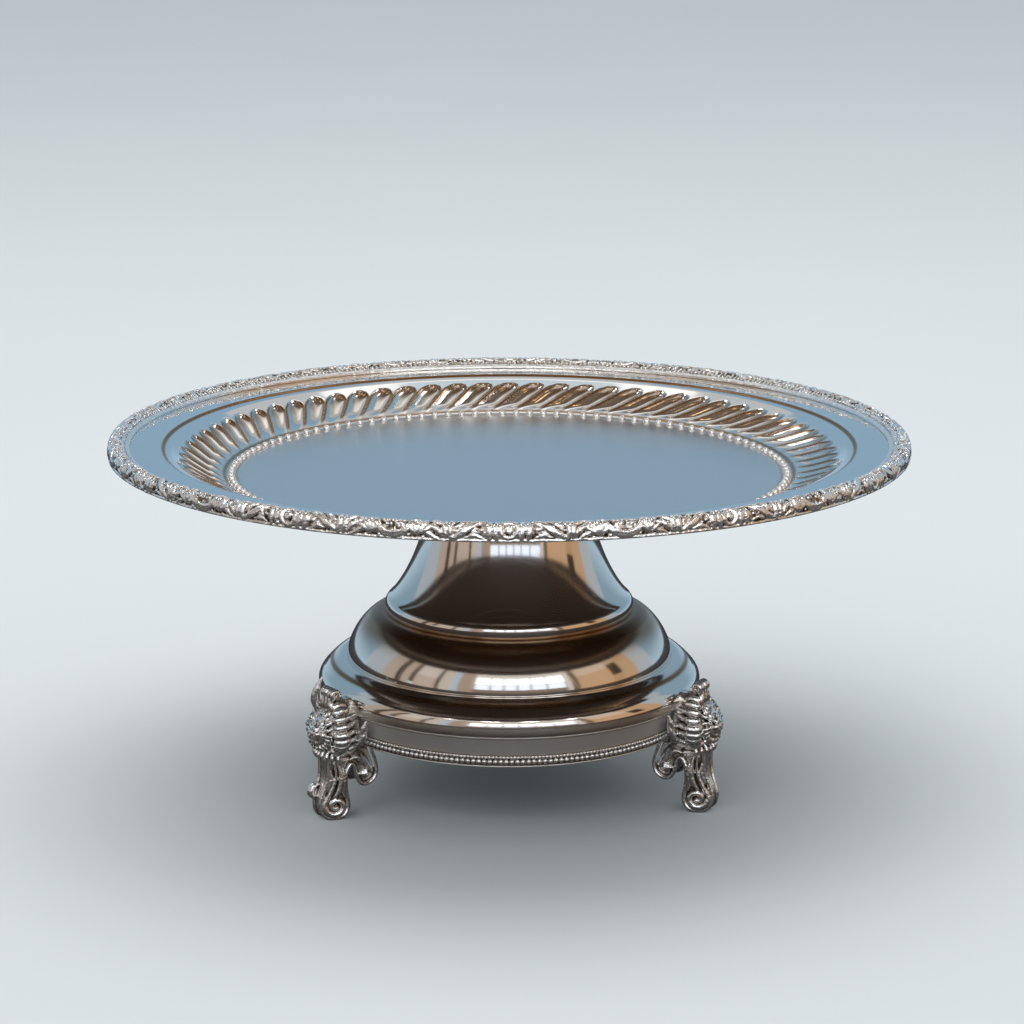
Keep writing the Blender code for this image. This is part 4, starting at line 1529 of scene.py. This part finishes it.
def mirrored_only(sheet):
    """Leaves a card to be seen only in polished surfaces."""
    sheet.visible_camera = False
    sheet.visible_diffuse = False
    sheet.visible_shadow = False


ROOM_HEIGHT = 2.6
ROOM_RADIUS = 3.0
WALL_RADIUS = 2.2
WINDOW_SPAN = (-25, 41)  # first and last angle of the window wall, from the front
WINDOW_FRAME = (0.42, 0.38, 0.35)
LOWER_PANES = (1.15, 1.32, 1.60)
UPPER_PANES = (2.1, 2.2, 2.3)
LAMP_GLOW = (3.2, 2.1, 1.1)
STUDIO_GLOW = (7.5, 7.5, 7.8)
BACK_OPENING = (0.50, 0.52, 0.54)
# Cards round the room: first and last angle from the front, foot, head, and colour.
ROOM_CARDS = (
    (-118, -98, 0.0, ROOM_HEIGHT, (0.42, 0.49, 0.56)),
    (-98, -86, 0.0, ROOM_HEIGHT, (0.46, 0.40, 0.35)),
    (-86, -81, 0.0, ROOM_HEIGHT, (0.06, 0.045, 0.036)),
    (-81, -74, 0.0, ROOM_HEIGHT, (0.50, 0.41, 0.35)),
    (-74, -70, 0.3, ROOM_HEIGHT, (0.10, 0.075, 0.06)),
    (-70, -53, 0.0, 1.2, (0.54, 0.46, 0.40)),
    (-70, -53, 1.2, ROOM_HEIGHT, (0.64, 0.59, 0.55)),
    (-53, -50, 0.0, ROOM_HEIGHT, (0.07, 0.055, 0.045)),
    (-50, -42, 0.0, ROOM_HEIGHT, (0.60, 0.55, 0.50)),
    (-42, -36, 0.0, ROOM_HEIGHT, (0.48, 0.58, 0.70)),
    (-36, -25, 0.0, ROOM_HEIGHT, (0.40, 0.32, 0.26)),
    (*WINDOW_SPAN, 0.0, 0.5, (0.24, 0.19, 0.15)),
    (*WINDOW_SPAN, 1.95, ROOM_HEIGHT, (0.72, 0.70, 0.68)),
    (41, 45, 0.0, ROOM_HEIGHT, (0.74, 0.68, 0.62)),
    (45, 50, 0.0, ROOM_HEIGHT, (0.16, 0.11, 0.07)),
    (50, 78, 0.0, 1.5, (0.60, 0.40, 0.25)),
    (50, 78, 1.5, ROOM_HEIGHT, (0.66, 0.53, 0.42)),
    (78, 87, 0.0, 0.7, (0.50, 0.32, 0.18)),
    (78, 87, 0.7, 1.7, (0.05, 0.035, 0.025)),
    (78, 87, 1.7, ROOM_HEIGHT, (0.56, 0.42, 0.30)),
    (87, 101, 0.0, ROOM_HEIGHT, (0.54, 0.37, 0.23)),
    (101, 118, 0.0, ROOM_HEIGHT, (0.44, 0.50, 0.56)),
)
WINDOW_PANES = ((-24, -14), (-12.5, -4.5), (-3, 5), (6.5, 14.5), (16, 26), (27.5, 40))
# Cards overhead: level, near and far edges, half width, and colour.
CEILING_CARDS = (
    (ROOM_HEIGHT, -3.0, -0.7, 3.0, (0.62, 0.59, 0.56)),
    (ROOM_HEIGHT, -0.7, 1.35, 3.0, (0.15, 0.115, 0.09)),
    (2.58, 1.62, 2.2, 1.1, (1.1, 1.1, 1.1)),
)
STUDIO_LAMPS = ((-1.5, -1.6), (-0.5, -2.1), (0.6, -2.1), (1.6, -1.6), (-1.7, 0.9), (1.7, 0.9))
CEILING_LAMPS = ((-1.1, -0.3), (0.2, -0.5), (1.2, -0.2), (-0.5, 0.2), (0.7, 0.3))


def room_cards(stage):
    """Coloured cards round the camera and a blue one behind the salver, seen only in the silver."""
    points = []
    faces = []
    tints = []

    def panel(first, last, foot, head, tint, radius=ROOM_RADIUS, foot_tint=None):
        turns = np.radians(np.linspace(first, last, 7))
        low = tint if foot_tint is None else foot_tint
        for one, two in zip(turns, turns[1:]):
            start = len(points)
            corners = ((one, foot, low), (two, foot, low), (two, head, tint), (one, head, tint))
            for turn, level, shade in corners:
                points.append((radius * math.sin(turn), -radius * math.cos(turn), level))
                tints.append((*shade, 1.0))
            faces.append([start, start + 1, start + 2, start + 3])

    def overhead(level, near, far, left, right, tint):
        start = len(points)
        for x, y in ((left, near), (right, near), (right, far), (left, far)):
            points.append((x, y, level))
            tints.append((*tint, 1.0))
        faces.append([start, start + 1, start + 2, start + 3])

    for first, last, foot, head, tint in ROOM_CARDS:
        panel(first, last, foot, head, tint)
    for first, last in WINDOW_PANES:
        panel(first, last, 0.5, 1.1, LOWER_PANES)
        panel(first, last, 1.16, 1.95, UPPER_PANES)
    panel(*WINDOW_SPAN, 0.45, 2.0, WINDOW_FRAME, ROOM_RADIUS + 0.05)
    wall = tuple(stage.wall)
    panel(118, 242, 0.0, 0.6, wall, WALL_RADIUS, tuple(stage.wall_foot))
    panel(118, 242, 0.6, 1.5, wall, WALL_RADIUS)
    for first, last, tint in ((118, 148, wall), (148, 212, BACK_OPENING), (212, 242, wall)):
        panel(first, last, 1.5, ROOM_HEIGHT, tint, WALL_RADIUS)
    for level, near, far, half, tint in CEILING_CARDS:
        overhead(level, near, far, -half, half, tint)
    for x, y in CEILING_LAMPS:
        overhead(2.55, y - 0.09, y + 0.09, x - 0.09, x + 0.09, LAMP_GLOW)
    for x, y in STUDIO_LAMPS:
        overhead(2.5, y - 0.26, y + 0.26, x - 0.26, x + 0.26, STUDIO_GLOW)
    mesh = bpy.data.meshes.new("stage_room")
    mesh.from_pydata(points, [], faces)
    glow = mesh.attributes.new("glow", "FLOAT_COLOR", "POINT")
    glow.data.foreach_set("color", np.array(tints, np.float32).ravel())
    mesh.materials.append(glowing_card("room_card"))
    room = bpy.data.objects.new("stage_room", mesh)
    bpy.context.scene.collection.objects.link(room)
    mirrored_only(room)


def set_air(scene, stage):
    """Plain soft light from all round."""
    world = bpy.data.worlds.new("air")
    world.use_nodes = True
    background = world.node_tree.nodes["Background"]
    background.inputs["Color"].default_value = (*stage.air, 1.0)
    background.inputs["Strength"].default_value = 1.0
    scene.world = world


def set_lights(stage):
    """One wide softbox overhead and a soft light from the front left."""
    box = bpy.data.lights.new("softbox", "AREA")
    box.shape = "RECTANGLE"
    box.size = 2.6
    box.size_y = 1.8
    box.energy = stage.softbox
    fill = bpy.data.lights.new("front_fill", "SUN")
    fill.angle = math.radians(50.0)
    fill.energy = stage.fill
    spots = ((box, (0.0, 0.3, 2.2), (0.0, 0.0, 0.0)), (fill, (-1.6, -2.0, 2.4), (0.75, 0.0, -0.67)))
    for data, spot, turn in spots:
        light = bpy.data.objects.new(data.name, data)
        light.location = spot
        light.rotation_euler = turn
        light.visible_glossy = False
        bpy.context.scene.collection.objects.link(light)


CAMERA_SPOT = (0.0, -1.3327, 0.4339)
CAMERA_TILT = 0.2338  # how far it looks down, in radians


def set_camera(scene):
    """Camera at the height of a guest at the table."""
    data = bpy.data.cameras.new("camera")
    data.lens = 116.0
    data.sensor_width = 36.0
    data.shift_x = 0.00272
    data.clip_end = 50.0
    camera = bpy.data.objects.new("camera", data)
    camera.location = CAMERA_SPOT
    camera.rotation_euler = (math.pi / 2 - CAMERA_TILT, 0.0, 0.0)
    scene.collection.objects.link(camera)
    scene.camera = camera
    scene.view_settings.view_transform = "Standard"


# --- operators ---------------------------------------------------------------------


class SALVER_OT_tray(Operator):
    """Build the raised tray with its swept flutes"""

    bl_idname = "salver.tray"
    bl_label = "Build Tray"

    def execute(self, context):
        settings = context.scene.salver
        well = settings.tray.well_radius
        metal = polished_silver("tray_silver", settings.finish, 0.045, 0.00002, 0.03, well)
        place("salver_tray", tray_mesh(settings.tray), metal, "tray_silver", "tray")
        return {"FINISHED"}


class SALVER_OT_border(Operator):
    """Build the six cast sections of the border"""

    bl_idname = "salver.border"
    bl_label = "Build Border"

    def execute(self, context):
        settings = context.scene.salver
        metal = cast_silver("border_silver", settings.finish, 0.11)
        nodes = sorted(name for name in frame["nodes"] if name.startswith("border_section_"))
        sweep = 2 * math.pi / len(nodes)
        for number, node in enumerate(nodes):
            start = settings.border.first_seam + number * sweep
            mesh = border_mesh(node, settings.border, start, sweep)
            place(f"salver_{node}", mesh, metal, "border_silver", node)
        return {"FINISHED"}


class SALVER_OT_pedestal(Operator):
    """Build the spun neck, the domed base and the satin ring"""

    bl_idname = "salver.pedestal"
    bl_label = "Build Pedestal"

    def execute(self, context):
        finish = context.scene.salver.finish
        metal = polished_silver(
            "pedestal_silver", finish, 0.012, 0.00003, 0.012, satin_level=BASE_FOOT.z + 3.6 * MM
        )
        foot = NECK_FOOT.z
        neck = spun_mesh("neck", neck_line(), [(foot, 0.9 * MM, 0.8)])
        place("salver_neck", neck, metal, "pedestal_silver", "pedestal_neck")
        # Dark rings on the base: a narrow one at the neck's foot, a wide one that paints a dark
        # reflection of the tray's underside down the upper dome, and a narrow one in the crease
        # between the domes.
        under_neck = [(foot, 0.8 * MM, 0.8), (foot - 2.0 * MM, 4.0 * MM, 0.42)]
        base = spun_mesh("base", base_line(), [*under_neck, (CREASE_LEVEL, 0.5 * MM, 0.8)])
        place("salver_base", base, metal, "pedestal_silver", "pedestal_base")
        satin = satin_silver("ring_silver", finish)
        place("salver_ring", ring_mesh(), satin, "ring_silver", "base_ring")
        return {"FINISHED"}


class SALVER_OT_beads(Operator):
    """String the beads of the tray and the base, and the milled line"""

    bl_idname = "salver.beads"
    bl_label = "String Beads"

    def execute(self, context):
        settings = context.scene.salver
        beads = settings.beads
        tree = bead_tree()
        metal = cast_silver("bead_silver", settings.finish, 0.26)
        well = RIM_LEVEL - settings.tray.well_depth
        wire = (WIRE_FOOT.z + WIRE_HEAD.z) / 2
        mill = beads.mill_size
        mill_circle = RING_HEAD.x - 2.05 * MM
        rows = (
            # name, count, circle, level, half sizes, slot, replaced nodes
            ("tray_beads", beads.tray_count, beads.tray_radius, well + 0.1 * MM,
             [beads.tray_size] * 3, "tray_silver", ()),
            ("base_beads", beads.base_count, WIRE_HEAD.x - beads.base_size, wire,
             [beads.base_size] * 3, "bead_silver", ("base_bead_wire",)),
            ("ring_milling", beads.mill_count, mill_circle, RING_FOOT.z + 4.3 * MM,
             [mill * 0.7, mill * 1.1, mill], "ring_silver", ()),
        )
        for name, count, circle, level, size, slot, nodes in rows:
            mesh = strung_mesh(name, tree, metal, count, circle, level, size)
            place(name, mesh, metal, slot, *nodes)
        return {"FINISHED"}


class SALVER_OT_feet(Operator):
    """Cast the three feet"""

    bl_idname = "salver.feet"
    bl_label = "Cast Feet"

    def execute(self, context):
        settings = context.scene.salver
        metal = cast_silver("foot_silver", settings.finish, roughness=0.10)
        for node, angle in FOOT_ANGLES.items():
            mesh = foot_mesh(settings.feet, -1 if node == "foot_left" else 0)
            mesh.transform(Matrix.Rotation(angle, 4, "Z"))
            place(f"salver_{node}", mesh, metal, "foot_silver", node)
        return {"FINISHED"}


class SALVER_OT_fasteners(Operator):
    """Finish the boss, stud, washer and nut, whose shapes are the frame's own"""

    bl_idname = "salver.fasteners"
    bl_label = "Finish Fasteners"

    def execute(self, context):
        finish = context.scene.salver.finish
        brass = turned_brass("boss_brass", finish)
        steel = plated_steel("clamp_steel", finish)
        metals = {
            "tray_boss": brass,
            "tray_stud": steel,
            "clamp_washer": steel,
            "clamp_nut": steel,
        }
        for name, metal in metals.items():
            node = frame["nodes"][name]
            node.data.materials.clear()
            node.data.materials.append(metal)
        return {"FINISHED"}


class SALVER_OT_stage(Operator):
    """Lay the floor, hang the cards and lights, and set the camera"""

    bl_idname = "salver.stage"
    bl_label = "Set Stage"

    def execute(self, context):
        stage = context.scene.salver.stage
        floor = card("stage_floor", 30)
        floor.data.materials.append(floor_paper("floor_paper", tuple(stage.floor)))
        floor.visible_glossy = False
        table = card("stage_table", 3, -1.0 * MM)
        table.data.materials.append(dark_card("table_card", tuple(stage.table)))
        mirrored_only(table)
        floor.visible_shadow = False
        room_cards(stage)
        set_air(context.scene, stage)
        set_lights(stage)
        set_camera(context.scene)
        return {"FINISHED"}


# --- panel and registration --------------------------------------------------------

STEPS = (
    SALVER_OT_tray,
    SALVER_OT_border,
    SALVER_OT_pedestal,
    SALVER_OT_beads,
    SALVER_OT_feet,
    SALVER_OT_fasteners,
    SALVER_OT_stage,
)
SETTINGS = (
    SalverTray,
    SalverBorder,
    SalverBeads,
    SalverFeet,
    SalverFinish,
    SalverStage,
    SalverSettings,
)


class SALVER_PT_panel(Panel):
    """Lists the steps that build the salver, and its settings."""

    bl_label = "Salver"
    bl_idname = "SALVER_PT_panel"
    bl_space_type = "VIEW_3D"
    bl_region_type = "UI"
    bl_category = "Salver"

    def draw(self, context):
        settings = context.scene.salver
        for step in STEPS:
            self.layout.operator(step.bl_idname)
        for group in ("tray", "border", "beads", "feet", "finish", "stage"):
            box = self.layout.box()
            box.label(text=group.capitalize())
            values = getattr(settings, group)
            for name in values.bl_rna.properties.keys():
                if name not in {"rna_type", "name"}:
                    box.prop(values, name)


def register():
    """Registers the settings, the steps and the panel."""
    for kind in (*SETTINGS, *STEPS, SALVER_PT_panel):
        bpy.utils.register_class(kind)
    bpy.types.Scene.salver = PointerProperty(type=SalverSettings)


def unregister():
    """Takes everything out again."""
    del bpy.types.Scene.salver
    for kind in reversed((*SETTINGS, *STEPS, SALVER_PT_panel)):
        bpy.utils.unregister_class(kind)


def main():
    """Builds the salver and its stage."""
    register()
    for step in STEPS:
        group, name = step.bl_idname.split(".")
        getattr(getattr(bpy.ops, group), name)()


if __name__ == "__main__":
    main()
